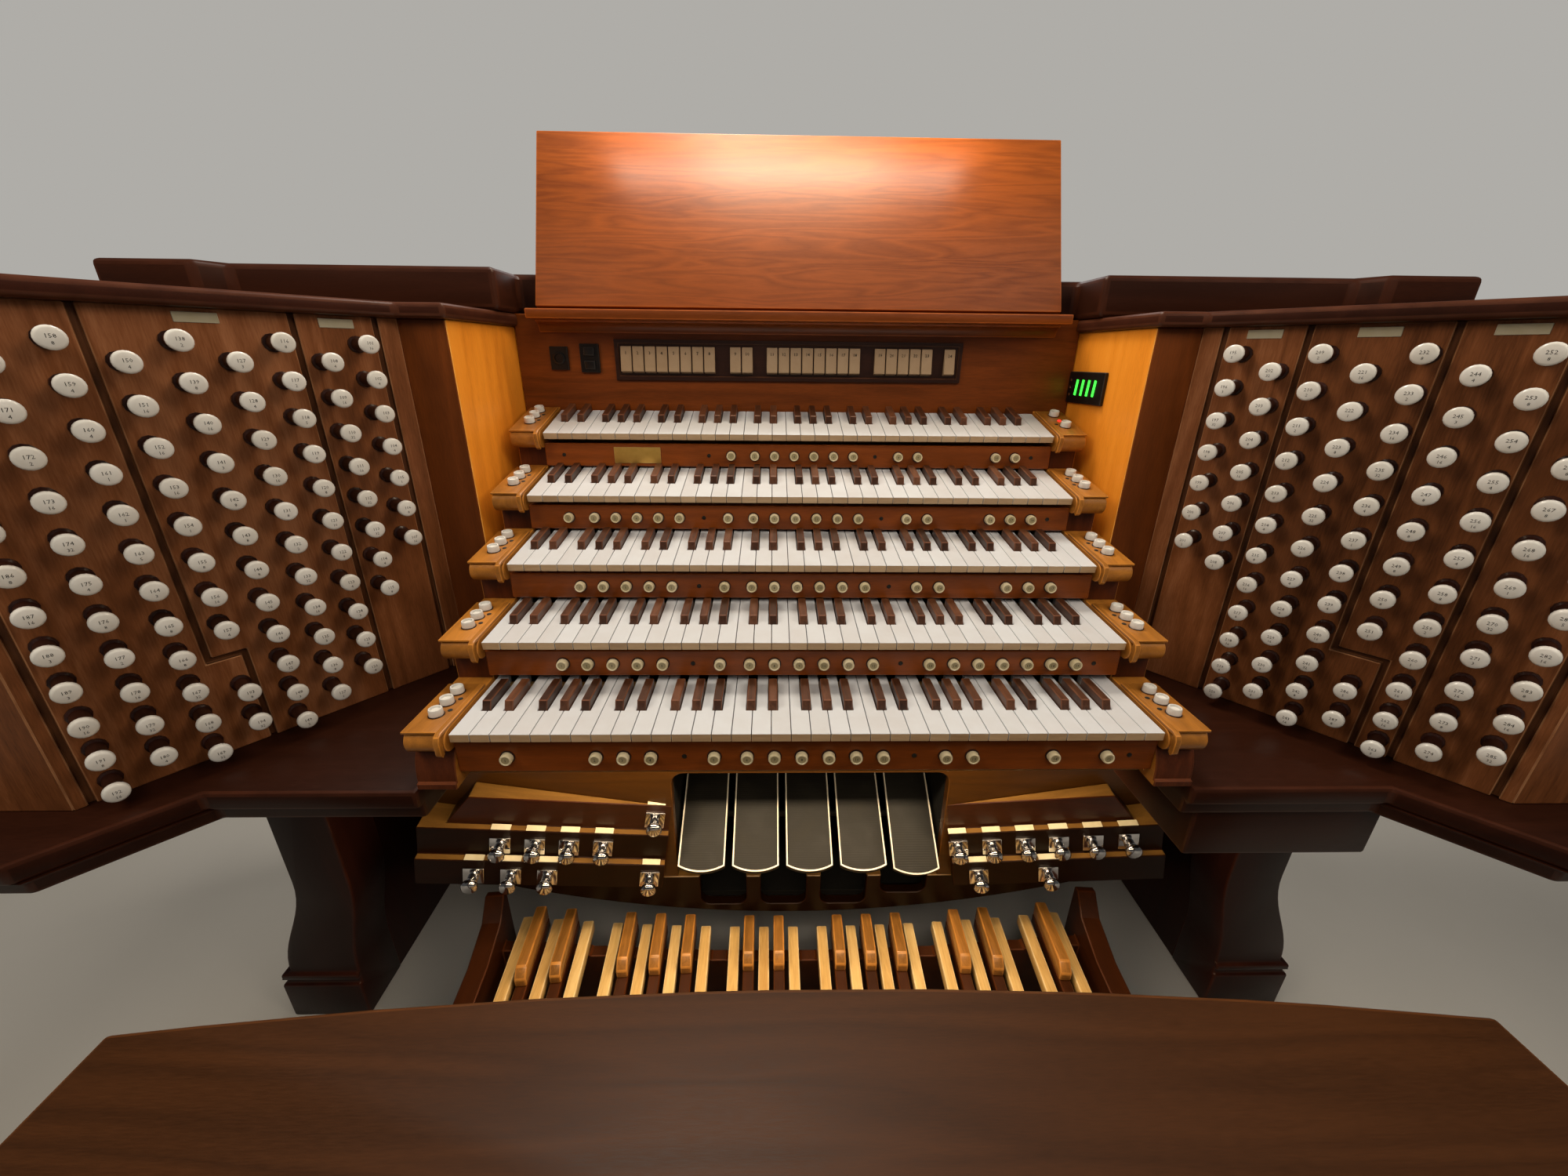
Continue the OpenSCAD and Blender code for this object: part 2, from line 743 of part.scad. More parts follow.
module toe_boards() {
    board_d = 90;
    reach = 160;
    color("#5a3422") placed()
        for (s = [-1, 1]) {
            x0 = recess_half_w + seat + s * shoe_x;
            mirror([s < 0 ? 1 : 0, 0, 0]) intersection() {
                on_toe_board(x0)
                    for (k = [0:2])
                        let (len = toe_len[k] - s * shoe_x, top = -k * tier_h)
                            translate([0, board_d - k * tread_d, 0]) rotate([90, 0, 0])
                                linear_extrude(board_d)
                                polygon([[0, top - tier_h], [len + (k == 0 ? tier_slant : 0), top - tier_h],
                                         [len, top], [0, top]]);
                translate([x0, knee_y - seat - reach, 0]) cube([900, reach, 900]);
            }
        }
}

// Toe studs of each tier: places along it from its inner end
left_studs = [[0, [31]], [1, [125, 189, 252, 315]], [2, [28, 224, 291, 358]]];
right_studs = [[1, [16, 82, 146, 209, 273, 338]], [2, [51, 185]]];

module toe_stud() {
    plate = 38;
    plate_t = 3;
    color("silver") {
        translate([-plate / 2, -plate_t, -plate / 2]) cube([plate, plate_t, plate]);
        translate([0, 0, -2]) rotate([90, 0, 0]) cylinder(d = 20, h = 14);
        translate([0, -14, -2]) rotate([90, 0, 0]) cylinder(d1 = 20, d2 = 30, h = 8);
        translate([0, -22, -2]) rotate([90, 0, 0]) cylinder(d = 30, h = 5);
    }
}

module toe_studs() {
    placed()
        for (s = [-1, 1])
            mirror([s < 0 ? 1 : 0, 0, 0]) on_toe_board(recess_half_w + seat + s * shoe_x)
                for (row = s < 0 ? left_studs : right_studs, x = row[1])
                    translate([x, -row[0] * tread_d, -(row[0] + 1) * tier_h + tier_h * 0.42]) toe_stud();
}

module shoe_box() {
    depth = 330;
    bottom = 190;
    top = recess_top + 60;
    y0 = knee_y + panel_t + seat;
    wall = 15;
    color("black") placed() {
        difference() {
            translate([shoe_x - recess_half_w - wall, y0, bottom])
                cube([2 * (recess_half_w + wall), depth, top - bottom]);
            translate([shoe_x - recess_half_w, y0 - 1, bottom + wall])
                cube([2 * recess_half_w, depth - wall + 1, top - bottom - 2 * wall]);
        }
        translate([shoe_x - recess_half_w - 1, shaft_y, shaft_z]) rotate([0, 90, 0])
            cylinder(d = shaft_d, h = 2 * recess_half_w + 2);
    }
}

// Board below the toe boards: its lower edge is hollowed like the pedalboard
module kick_rail() {
    half = 620;
    low_z = 167;
    radius = 2200;
    steps = 40;
    notch_w = 97;
    notch_r = 20;
    notch_z = [191, 191, 191, 221];
    notch_x0 = -148;
    notch_pitch = 127;
    top = knee_bottom - seat;
    color("sienna") placed() translate([0, knee_y + panel_t - seat, 0]) rotate([90, 0, 0])
        linear_extrude(panel_t - 2 * seat) difference() {
            polygon(concat([[half, top], [-half, top]],
                           [for (k = [0:steps])
                                let (x = half * (2 * k / steps - 1))
                                    [x, low_z + x * x / (2 * radius)]]));
            for (n = [0:3])
                translate([notch_x0 + n * notch_pitch, notch_z[n]]) {
                    translate([-notch_w / 2, notch_r]) square([notch_w, top - notch_z[n]]);
                    translate([notch_r - notch_w / 2, 0]) square([notch_w - 2 * notch_r, notch_r + 1]);
                    for (side = [-1, 1])
                        translate([side * (notch_w / 2 - notch_r), notch_r]) circle(r = notch_r);
                }
        }
}

module swell_shoe(n) {
    tilt = n == manual_count ? crescendo_tilt : shoe_tilt;
    heel = 133;
    lug = 36;
    drop = 26;
    color("black") placed()
        translate([shoe_x + (n - 3) * shoe_pitch, shaft_y, shaft_z]) rotate([tilt, 0, 0]) difference() {
            union() {
                translate([0, 0, drop]) linear_extrude(shoe_t) intersection() {
                    translate([-shoe_w / 2, -heel]) square([shoe_w, shoe_len]);
                    union() {
                        translate([0, heel_r - heel]) circle(r = heel_r);
                        translate([-shoe_w / 2, heel_r - heel]) square([shoe_w, shoe_len]);
                    }
                }
                translate([-lug, -24, -16]) cube([2 * lug, 48, drop + 17]);
            }
            translate([-lug - 1, 0, 0]) rotate([0, 90, 0])
                cylinder(d = shaft_d + 2 * shaft_clear, h = 2 * lug + 2);
        }
}

// Pedalboard

pedal_naturals_n = 19;
pedal_h = 24;
pedal_near_y = pedal_far_y - pedal_len;

function pedal_x(n) = (n - (pedal_naturals_n - 1) / 2) * pedal_pitch;
function pedal_lift(x) = x * x / (2 * pedal_radius);

// A pedal's own frame: its far end at the height of the naturals' tops, turned to the middle
module on_pedal(x) {
    translate([x, pedal_far_y, pedal_z + pedal_lift(x)]) rotate([0, 0, -atan(x / pedal_spread)]) children();
}

module pedal_naturals() {
    color("burlywood") placed()
        for (n = [0:pedal_naturals_n - 1])
            on_pedal(pedal_x(n)) translate([-pedal_w / 2, -pedal_len, -pedal_h])
                cube([pedal_w, pedal_len, pedal_h]);
}

function pedal_sharp_x(n) = pedal_x(n) + pedal_pitch / 2;
function has_pedal_sharp(n) = !is_undef(sharp_shift[n % octave_naturals]);

// Lower part of each sharp pedal, as low and as long as a natural pedal
module pedal_shanks() {
    color("#6b452b") placed()
        for (n = [0:pedal_naturals_n - 2])
            if (has_pedal_sharp(n))
                on_pedal(pedal_sharp_x(n)) translate([-pedal_w / 2, -pedal_len, -pedal_h])
                    cube([pedal_w, pedal_len, pedal_h]);
}

module pedal_sharps() {
    slope = 16;
    color("peru") placed()
        for (n = [0:pedal_naturals_n - 2])
            if (has_pedal_sharp(n))
                let (x = pedal_sharp_x(n), near = -pedal_sharp_len - x * x / (2 * sharp_arc))
                    on_pedal(x) side_profile(-pedal_w / 2, pedal_w / 2)
                        polygon([[near, 0], [0, 0], [0, pedal_sharp_h],
                                 [near + slope, pedal_sharp_h], [near, pedal_sharp_h - slope]]);
}

pedal_half = pedal_x(pedal_naturals_n - 1) + pedal_w / 2 + 28;

// A cross rail whose top has one flat for each pedal, up to rise above the pedals' undersides
module pedal_rail(y, t, rise) {
    last = 2 * pedal_naturals_n - 2;
    base = pedal_z - pedal_h + rise;
    narrowing = 1 - (pedal_far_y - y - t / 2) / pedal_spread;
    quarter = pedal_pitch / 4 * narrowing;
    end = pedal_half * narrowing + 6;
    translate([0, y + t, 0]) rotate([90, 0, 0]) linear_extrude(t)
        polygon(concat([[end, 0], [-end, 0]],
                       [for (k = [0:last], s = [-1, 1])
                            let (m = k - last / 2)
                                [(k == 0 && s < 0) || (k == last && s > 0) ? s * end : (2 * m + s) * quarter,
                                 base + pedal_lift(m * pedal_pitch / 2)]]));
}

module pedal_frame() {
    cheek_t = 38;
    cheek_far = 7;
    rail_t = 24;
    reach = 40;
    gap = 2;
    near = pedal_near_y - reach - gap;
    near_len = pedal_far_y - near;
    color("#5a3422") placed() {
        both_sides() translate([pedal_half, pedal_far_y, 0]) rotate([0, 0, -atan(pedal_half / pedal_spread)])
            side_profile(0, cheek_t)
                polygon([[-near_len, 0], [cheek_far, 0], [cheek_far, 238], [cheek_far - 14, 240],
                         [cheek_far - 50, 205], [cheek_far - 130, 186], [-near_len, 178]]);
        pedal_rail(near, reach, pedal_h);
        pedal_rail(pedal_near_y + 60, rail_t, 0);
        pedal_rail(pedal_far_y - 60, rail_t, 0);
    }
}

// Bench

bench_back_y = -bench_gap - bench_bow;

module bench_top() {
    half = bench_len / 2;
    r = (half * half + bench_bow * bench_bow) / (2 * bench_bow);
    color("#5c3021") placed() translate([0, 0, bench_z - bench_t]) linear_extrude(bench_t)
        intersection() {
            translate([-half, bench_front_y]) square([bench_len, bench_d + bench_bow]);
            translate([0, -bench_gap - r]) circle(r = r, $fn = 200);
        }
}

module bench_frame() {
    inset = 12;
    x0 = bench_len / 2 - inset - bench_end_t;
    depth = bench_d - 50;
    y0 = bench_front_y + 25;
    rail_w = 90;
    color("#4a2619") placed() {
        both_sides() translate([x0, y0, 0]) cube([bench_end_t, depth, bench_z - bench_t]);
        for (y = [y0 + 30, y0 + depth - 30 - panel_t])
            translate([-x0 - 1, y, bench_z - bench_t - rail_w]) cube([2 * x0 + 2, panel_t, rail_w]);
        translate([-x0 - 1, y0 + 60, 230]) cube([2 * x0 + 2, 70, 24]);
    }
}

module apron_box() {
    w = 250;
    h = 76;
    y0 = 12;
    depth = 200;
    x1 = table_corner_x + 24;
    color("#3a2018") placed()
        translate([x1 - w, y0, table_z - table_t - h]) cube([w, depth, h]);
}

key_table();
legs();
side_panels();
case_back();
upper_sides();
case_tops();
crown();
jambs();
pilasters();
side_walls();
drawknobs();
naturals();
sharps();
key_beds();
key_blocks();
piston_rails();
thumb_pistons();
block_knobs();
nameboard();
tab_tray();
rocker_tabs();
level_display();
desk_ledge();
music_desk();
knee_panel();
toe_boards();
toe_studs();
shoe_box();
kick_rail();
swell_shoe(1);  // swell_shoe_1
swell_shoe(2);  // swell_shoe_2
swell_shoe(3);  // swell_shoe_3
swell_shoe(4);  // swell_shoe_4
swell_shoe(5);  // swell_shoe_5
pedal_frame();
pedal_naturals();
pedal_shanks();
pedal_sharps();
bench_top();
bench_frame();
apron_box();
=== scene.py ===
"""Looks of a five-manual drawknob organ console with its pedalboard and bench.

Lengths are in millimetres in the maker's frame: X to the player's right, Y away from the
player with 0 at the lowest manual's key fronts, Z up from the floor. The studio lamps are in
metres of the shared frame.
"""
from __future__ import annotations

import logging
import math
import random
from dataclasses import dataclass
from enum import Enum, IntEnum
from typing import Callable, Iterable, Mapping, Sequence

import bmesh
import bpy
from mathutils import Matrix, Vector

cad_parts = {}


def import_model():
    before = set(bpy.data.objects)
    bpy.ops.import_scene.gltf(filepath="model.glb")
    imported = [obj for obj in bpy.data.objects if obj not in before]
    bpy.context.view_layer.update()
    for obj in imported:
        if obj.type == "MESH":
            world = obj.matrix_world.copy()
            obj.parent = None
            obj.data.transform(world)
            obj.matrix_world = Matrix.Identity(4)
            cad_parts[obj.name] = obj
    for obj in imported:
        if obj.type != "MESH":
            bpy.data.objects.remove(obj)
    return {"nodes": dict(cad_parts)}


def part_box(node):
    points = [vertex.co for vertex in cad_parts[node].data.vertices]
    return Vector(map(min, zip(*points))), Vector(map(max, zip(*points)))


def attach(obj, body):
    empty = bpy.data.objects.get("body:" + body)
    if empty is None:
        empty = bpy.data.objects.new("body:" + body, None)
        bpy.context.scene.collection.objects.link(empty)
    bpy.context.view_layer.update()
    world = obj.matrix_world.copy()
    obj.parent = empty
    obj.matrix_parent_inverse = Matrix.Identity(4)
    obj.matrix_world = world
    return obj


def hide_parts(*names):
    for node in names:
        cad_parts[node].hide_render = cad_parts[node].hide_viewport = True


log = logging.getLogger("organ_console")

MM = 0.001
# How far the shared frame's middle lies behind the lowest key fronts
FRAME_Y = 102.0
# Edges that turn by more degrees than this are eased
EASED_ANGLE = 32.0
NOISE_INPUTS = ("Vector", "Scale", "Detail", "Roughness", "Distortion")
Rgba = tuple[float, float, float, float]
Point2 = tuple[float, float]
Point3 = tuple[float, float, float]
Socket = bpy.types.NodeSocket
Tree = bpy.types.NodeTree
FaceTest = Callable[[bmesh.types.BMFace], bool]


class Side(IntEnum):
    """The player's left or right."""

    LEFT = -1
    RIGHT = 1


def linear(colour: str) -> Rgba:
    """Turns an sRGB hex colour into linear values.

    Args:
        colour: six hex digits with a leading hash.

    Returns:
        Linear red, green and blue, and an alpha of 1.
    """
    parts = [int(colour[k:k + 2], 16) / 255 for k in (1, 3, 5)]
    red, green, blue = (c / 12.92 if c <= 0.04045 else ((c + 0.055) / 1.055) ** 2.4 for c in parts)
    return red, green, blue, 1.0


def moved(x: float, y: float, z: float) -> Matrix:
    """Gives the move to a point of the maker's frame, in metres of the shared frame."""
    return Matrix.Translation(Vector((x, y - FRAME_Y, z)) * MM)


def step(x: float, y: float, z: float) -> Matrix:
    """Gives a plain move in millimetres, without the frame's offset."""
    return Matrix.Translation(Vector((x, y, z)) * MM)


def turn(degrees: float, axis: str) -> Matrix:
    """Gives a turn about one axis, in degrees."""
    return Matrix.Rotation(math.radians(degrees), 4, axis)


MIRROR = Matrix.Scale(-1, 4, Vector((1, 0, 0)))


def on_side(side: Side, place: Matrix) -> Matrix:
    """Gives a right-hand place as it is, or its mirror on the left."""
    return MIRROR @ place if side is Side.LEFT else place


# Finishes


def add_node(tree: Tree, kind: str, settings: Mapping | None = None,
             inputs: Mapping | None = None) -> bpy.types.Node:
    """Adds a shader node with its settings, values and links.

    Args:
        tree: the material's node tree.
        kind: the node's type name.
        settings: attributes of the node; "stops" gives a colour ramp's places and colours.
        inputs: constants or output sockets, by input name or number.

    Returns:
        The new node.
    """
    node = tree.nodes.new(kind)
    for key, value in (settings or {}).items():
        if key == "stops":
            while len(node.color_ramp.elements) < len(value):
                node.color_ramp.elements.new(0.5)
            for element, (place, colour) in zip(node.color_ramp.elements, value):
                element.position = place
                element.color = colour
        else:
            setattr(node, key, value)
    for key, value in (inputs or {}).items():
        if isinstance(value, Socket):
            tree.links.new(value, node.inputs[key])
        else:
            node.inputs[key].default_value = value
    return node


def coordinates(tree: Tree) -> Socket:
    """Gives the object's own coordinates, in metres."""
    return add_node(tree, "ShaderNodeTexCoord").outputs["Object"]


def attribute(tree: Tree, name: str) -> Socket:
    """Gives one of the values that the mesh's faces carry."""
    return add_node(tree, "ShaderNodeAttribute", {"attribute_name": name}).outputs["Fac"]


def noise(tree: Tree, at: Socket, scale: float, detail: float = 2.0, roughness: float = 0.5,
          distortion: float = 0.0) -> Socket:
    """Gives a noise with so many cells for each unit of its coordinates."""
    inputs = dict(zip(NOISE_INPUTS, (at, scale, detail, roughness, distortion)))
    return add_node(tree, "ShaderNodeTexNoise", None, inputs).outputs[0]


def maths(tree: Tree, operation: str, *values: float | Socket) -> Socket:
    """Gives the result of one sum of numbers and sockets."""
    return add_node(tree, "ShaderNodeMath", {"operation": operation}, dict(enumerate(values))).outputs[0]


def ranged(tree: Tree, value: Socket, start: Point2 = (0.0, 1.0), end: Point2 = (0.0, 1.0)) -> Socket:
    """Carries a value from one range to another, and stops it at the ends."""
    inputs = {"Value": value, "From Min": start[0], "From Max": start[1], "To Min": end[0], "To Max": end[1]}
    return add_node(tree, "ShaderNodeMapRange", None, inputs).outputs[0]


def mixed(tree: Tree, share: Socket, first: Socket | Rgba, second: Socket | Rgba) -> Socket:
    """Mixes two colours by the share of the second."""
    return add_node(tree, "ShaderNodeMix", {"data_type": "RGBA"}, {0: share, 6: first, 7: second}).outputs[2]


def set_inputs(shader: bpy.types.Node, values: Mapping[str, float | Rgba]) -> None:
    """Sets constants on the shader's own sockets."""
    for name, value in values.items():
        shader.inputs[name].default_value = value


def lay_on(tree: Tree, shader: bpy.types.Node, colour: Socket, rough: Socket, height: Socket,
           strength: float, depth_mm: float) -> None:
    """Joins the colour, the roughness and the bump to the shader.

    Args:
        tree: the material's node tree.
        shader: its Principled shader.
        colour: the surface's colour.
        rough: the surface's roughness.
        height: the bump's height, from 0 to 1.
        strength: the bump's strength.
        depth_mm: the bump's depth, in millimetres.
    """
    bump = add_node(tree, "ShaderNodeBump", None,
                    {"Strength": strength, "Distance": depth_mm * MM, "Height": height})
    for name, socket in (("Base Color", colour), ("Roughness", rough), ("Normal", bump.outputs[0])):
        tree.links.new(socket, shader.inputs[name])


class Grain(Enum):
    """The axis that a wood's grain runs along."""

    X = (0.09, 1.0, 1.0)
    Y = (1.0, 0.09, 1.0)
    Z = (1.0, 1.0, 0.09)


@dataclass(frozen=True)
class Finish:
    """A finish that makes one material, whose name is the real one's."""

    name: str

    def material(self) -> bpy.types.Material:
        """Gives this finish's material, and makes it on the first call.

        Returns:
            The material.
        """
        found = bpy.data.materials.get(self.name)
        if found:
            return found
        made = bpy.data.materials.new(self.name)
        made.use_nodes = True
        self.dress(made.node_tree, made.node_tree.nodes["Principled BSDF"])
        return made

    def dress(self, tree: Tree, shader: bpy.types.Node) -> None:
        """Adds this finish's nodes to a new material."""
        raise NotImplementedError


@dataclass(frozen=True)
class Wood(Finish):
    """Planed and lacquered wood: growth figure, pores, tone from piece to piece and worn edges."""

    dark: str
    mid: str
    light: str
    worn: str
    grain: Grain
    figure_mm: float = 55.0
    pore_mm: float = 1.6
    lines: float = 5.0
    ring_share: float = 0.5
    pore_share: float = 0.55
    tone_spread: float = 0.25
    tone_shift: Point3 = (3.1, 5.3, 4.7)
    level: Point2 = (0.55, 1.25)
    broad_times: float = 4.0
    rub_scale: float = 35.0
    roughness: float = 0.36
    rough_ends: Point2 = (-0.07, 0.1)
    ior: float = 1.5
    coat: float = 0.12
    coat_roughness: float = 0.25
    specular: float = 0.5
    pore_depth_mm: float = 0.05
    pore_bump: float = 0.5

    def along(self, tree: Tree, at: Socket, size_mm: float) -> Socket:
        """Gives coordinates drawn out along the grain, in units of a size across it."""
        scale = Vector(self.grain.value) * (1000 / size_mm)
        return add_node(tree, "ShaderNodeMapping", None, {"Vector": at, "Scale": scale}).outputs[0]

    def dress(self, tree: Tree, shader: bpy.types.Node) -> None:
        """Adds the figure, the pores, the piece's tone and the worn edges.

        Args:
            tree: the material's node tree.
            shader: its Principled shader.
        """
        coords = coordinates(tree)
        tone = attribute(tree, "tone")
        shift = add_node(tree, "ShaderNodeVectorMath", {"operation": "SCALE"},
                         {0: self.tone_shift, "Scale": tone}).outputs[0]
        own = add_node(tree, "ShaderNodeVectorMath", {"operation": "ADD"}, {0: coords, 1: shift}).outputs[0]
        figure = noise(tree, self.along(tree, own, self.figure_mm), 1.0, distortion=0.5)
        ring = maths(tree, "PINGPONG", maths(tree, "MULTIPLY", figure, self.lines), 0.5)
        pores = noise(tree, self.along(tree, own, self.pore_mm), 1.0, 3.0, 0.6)
        level = noise(tree, self.along(tree, own, self.figure_mm * self.broad_times), 1.0)
        for part, share in ((ring, self.ring_share), (pores, self.pore_share), (tone, self.tone_spread)):
            level = maths(tree, "MULTIPLY_ADD", part, share, level)
        level = ranged(tree, level, (self.level[0], self.level[1] + self.tone_spread))
        stops = [(0.0, linear(self.dark)), (0.5, linear(self.mid)), (1.0, linear(self.light))]
        colour = add_node(tree, "ShaderNodeValToRGB", {"stops": stops}, {"Fac": level}).outputs[0]
        rub = maths(tree, "MULTIPLY", attribute(tree, "worn"), noise(tree, coords, self.rub_scale))
        colour = mixed(tree, rub, colour, linear(self.worn))
        rough = ranged(tree, pores, end=tuple(self.roughness + more for more in self.rough_ends))
        set_inputs(shader, {"IOR": self.ior, "Specular IOR Level": self.specular, "Coat Weight": self.coat,
                            "Coat Roughness": self.coat_roughness})
        lay_on(tree, shader, colour, rough, pores, self.pore_bump, self.pore_depth_mm)


@dataclass(frozen=True)
class Moulded(Finish):
    """Moulded or cast material: a soft mottle, tone from piece to piece, dirt and worn edges."""

    base: str
    shade: str
    worn: str
    mottle_mm: float = 12.0
    tone_spread: float = 0.2
    level: Point2 = (0.35, 0.65)
    roughness: float = 0.3
    rough_spread: float = 0.08
    bump: float = 0.4
    bump_mm: float = 0.03
    grit_mm: float = 1.2
    metallic: float = 0.0
    coat: float = 0.0
    glow: float = 0.0
    ior: float = 1.5

    def dress(self, tree: Tree, shader: bpy.types.Node) -> None:
        """Adds the mottle, the tone and the fine grit.

        Args:
            tree: the material's node tree.
            shader: its Principled shader.
        """
        coords = coordinates(tree)
        spread = self.tone_spread * 2
        mottle = noise(tree, coords, 1000 / self.mottle_mm, 3.0)
        level = maths(tree, "MULTIPLY_ADD", attribute(tree, "tone"), spread, mottle)
        level = ranged(tree, level, (self.level[0], self.level[1] + spread))
        colour = mixed(tree, level, linear(self.base), linear(self.shade))
        rub = maths(tree, "MULTIPLY", attribute(tree, "worn"), mottle)
        colour = mixed(tree, rub, colour, linear(self.worn))
        ends = (self.roughness - self.rough_spread, self.roughness + self.rough_spread)
        grit = noise(tree, coords, 1000 / self.grit_mm)
        set_inputs(shader, {"Metallic": self.metallic, "Coat Weight": self.coat})
        if not self.metallic:
            set_inputs(shader, {"IOR": self.ior})
        if self.glow:
            set_inputs(shader, {"Emission Color": linear(self.base), "Emission Strength": self.glow})
        lay_on(tree, shader, colour, ranged(tree, mottle, end=ends), grit, self.bump, self.bump_mm)


@dataclass(frozen=True)
class RibbedRubber(Finish):
    """Black rubber with fine grooves across the shoe, drawn 4 mm apart so that they show."""

    base: str
    dust: str
    rib_mm: float = 4.0
    bump: float = 0.5
    depth_mm: float = 0.35
    roughness: float = 0.62
    rough_ends: Point2 = (-0.1, 0.2)
    ior: float = 1.52
    dust_scale: float = 22.0
    dust_detail: float = 5.0
    dust_from: Point2 = (0.5, 0.85)
    dust_most: float = 0.55

    def dress(self, tree: Tree, shader: bpy.types.Node) -> None:
        """Adds the grooves and the dust of shoe soles.

        Args:
            tree: the material's node tree.
            shader: its Principled shader.
        """
        coords = coordinates(tree)
        # A wave of scale 1 repeats every pi / 10 metres
        ribs = add_node(tree, "ShaderNodeTexWave", {"wave_profile": "SIN", "bands_direction": "Y"},
                        {"Vector": coords, "Scale": math.pi / (10 * self.rib_mm * MM), "Distortion": 0.0})
        dust = noise(tree, coords, self.dust_scale, self.dust_detail)
        level = ranged(tree, dust, self.dust_from, (0.0, self.dust_most))
        colour = mixed(tree, level, linear(self.base), linear(self.dust))
        rough = ranged(tree, dust, end=tuple(self.roughness + more for more in self.rough_ends))
        set_inputs(shader, {"IOR": self.ior})
        lay_on(tree, shader, colour, rough, ribs.outputs[1], self.bump, self.depth_mm)


# Dark stained mahogany of the table and the crown: near black in shade, red-brown in light
DARK_X = Wood("stained_mahogany_level", "#1b0a05", "#2a130a", "#391c10", "#412114", Grain.X, figure_mm=70,
              lines=3, specular=0.2, coat=0.0)
# The same mahogany with upright grain, a shade darker, of the legs, the panels and the bench's frame
DARK_Z = Wood("stained_mahogany_upright", "#160704", "#230d07", "#33150c", "#3b1b10", Grain.Z, figure_mm=70,
              lines=3, specular=0.2, coat=0.0)
# The bench top's mahogany, browner and matt from use
BENCH = Wood("bench_mahogany", "#311a08", "#46270f", "#593315", "#623919", Grain.X, figure_mm=60, lines=4,
             roughness=0.5, specular=0.3, coat=0.0)
# The case tops' mahogany, lighter with painted light on the tops
LIT_TOPS = Wood("top_mahogany_painted_light", "#241008", "#361a10", "#482315", "#55301f", Grain.X, figure_mm=70, lines=3,
            specular=0.25, coat=0.0)
# Mid-brown cherry veneer of the stop jambs, with a broad upright figure
JAMB = Wood("jamb_cherry_veneer", "#432411", "#7f4c2b", "#a9714c", "#b9875f", Grain.Z, figure_mm=60,
            roughness=0.4, specular=0.25, coat=0.0)
# Red-brown veneer of the pilasters beside the walls, darker than the jambs
PILASTER = Wood("pilaster_veneer", "#4d250b", "#6b3613", "#85441b", "#944c1f", Grain.Z, figure_mm=60,
                roughness=0.4, specular=0.25, coat=0.0)
# Dark painted shade in the jambs' dividing grooves
GROOVE_SHADE = Wood("groove_painted_shade", "#3a2011", "#52301b", "#674128", "#744b30", Grain.Z, figure_mm=40, lines=3,
              specular=0.25, coat=0.0)
# Orange cherry of the walls beside the keys, the brightest wood
WALL = Wood("cherry_wall", "#c4701c", "#ee942a", "#fda73d", "#fdbd60", Grain.Z, figure_mm=80, lines=4)
# Cherry veneer of the music desk, with a fine level figure and a soft sheen
DESK = Wood("cherry_desk", "#672f0b", "#82400f", "#984c14", "#ab5b1d", Grain.X, figure_mm=28, lines=7,
            ring_share=0.8, roughness=0.4, specular=0.4, coat=0.3, coat_roughness=0.45)
# Solid cherry of the key blocks
BLOCK = Wood("cherry_block", "#6f4617", "#996224", "#bd7b2e", "#da8e37", Grain.Y, figure_mm=30, lines=4)
# The same cherry, darkened as painted shade, on the foot under the lowest nose and the faces below the noses
SHADED_BLOCK = Wood("cherry_block_painted_shade", "#2f1407", "#4a2210", "#663218", "#7a4325", Grain.Z, figure_mm=30, lines=4,
            specular=0.3, coat=0.0)
# Reddish cherry of the rails under the keys and of the nameboard
RAIL = Wood("cherry_rail", "#532709", "#743810", "#904817", "#a6541c", Grain.X, figure_mm=40, lines=4,
            specular=0.35, coat=0.05)
# Dark veneer of the toe boards' top risers
RISER = Wood("toe_riser_veneer", "#200901", "#301102", "#411a04", "#4b1f05", Grain.X, figure_mm=45,
             specular=0.35, coat=0.05)
# The same veneer, darkened as painted shade, on the lower risers and the kick rail
SHADED_RISER = Wood("toe_riser_veneer_painted_shade", "#100401", "#180801", "#220d03", "#321404", Grain.X, figure_mm=45,
                 specular=0.15, coat=0.0)
# Walnut-brown veneer of the knee panel
KNEE = Wood("walnut_veneer", "#301902", "#442604", "#563207", "#643b09", Grain.X, figure_mm=45,
            specular=0.35, coat=0.05)
# Golden maple of the treads and the key beds, and painted light on the tops of the kick rail's piers
TREAD = Wood("maple_tread", "#5b3e1a", "#7a5727", "#906c35", "#9a763e", Grain.X, figure_mm=40)
# Rosewood of the sharps: each key its own tone
ROSEWOOD = Wood("rosewood_sharp", "#1f0f07", "#422617", "#6d432b", "#7b4b32", Grain.Y, figure_mm=9, lines=3,
                tone_spread=0.55, pore_mm=1.2, roughness=0.42, coat=0.1)
# Dark wood of the drawknobs' shanks and of the sleeves round pistons and small knobs
SHANK = Wood("rosewood_shank", "#150a07", "#2a1510", "#3d211a", "#57382b", Grain.Z, figure_mm=14, lines=3)
# Pale maple of the natural pedals, worn bright by shoes
PEDAL = Wood("maple_pedal", "#b58a4c", "#d3ad6c", "#e6c88d", "#efd9ab", Grain.Y, figure_mm=16,
             tone_spread=0.35, roughness=0.4)
# Brown wood of the sharp pedals with light worn edges
PEDAL_SHARP = Wood("walnut_pedal", "#603f18", "#8b5d28", "#b17735", "#cf8c3f", Grain.Y, figure_mm=14, lines=4,
                   tone_spread=0.35, roughness=0.3)
# Dark walnut of the pedalboard's cheeks and of the sharp pedals' shanks
CHEEK = Wood("walnut_cheek", "#270f03", "#391905", "#4a2209", "#582a0d", Grain.Y, figure_mm=45, lines=4,
             specular=0.35, coat=0.05)
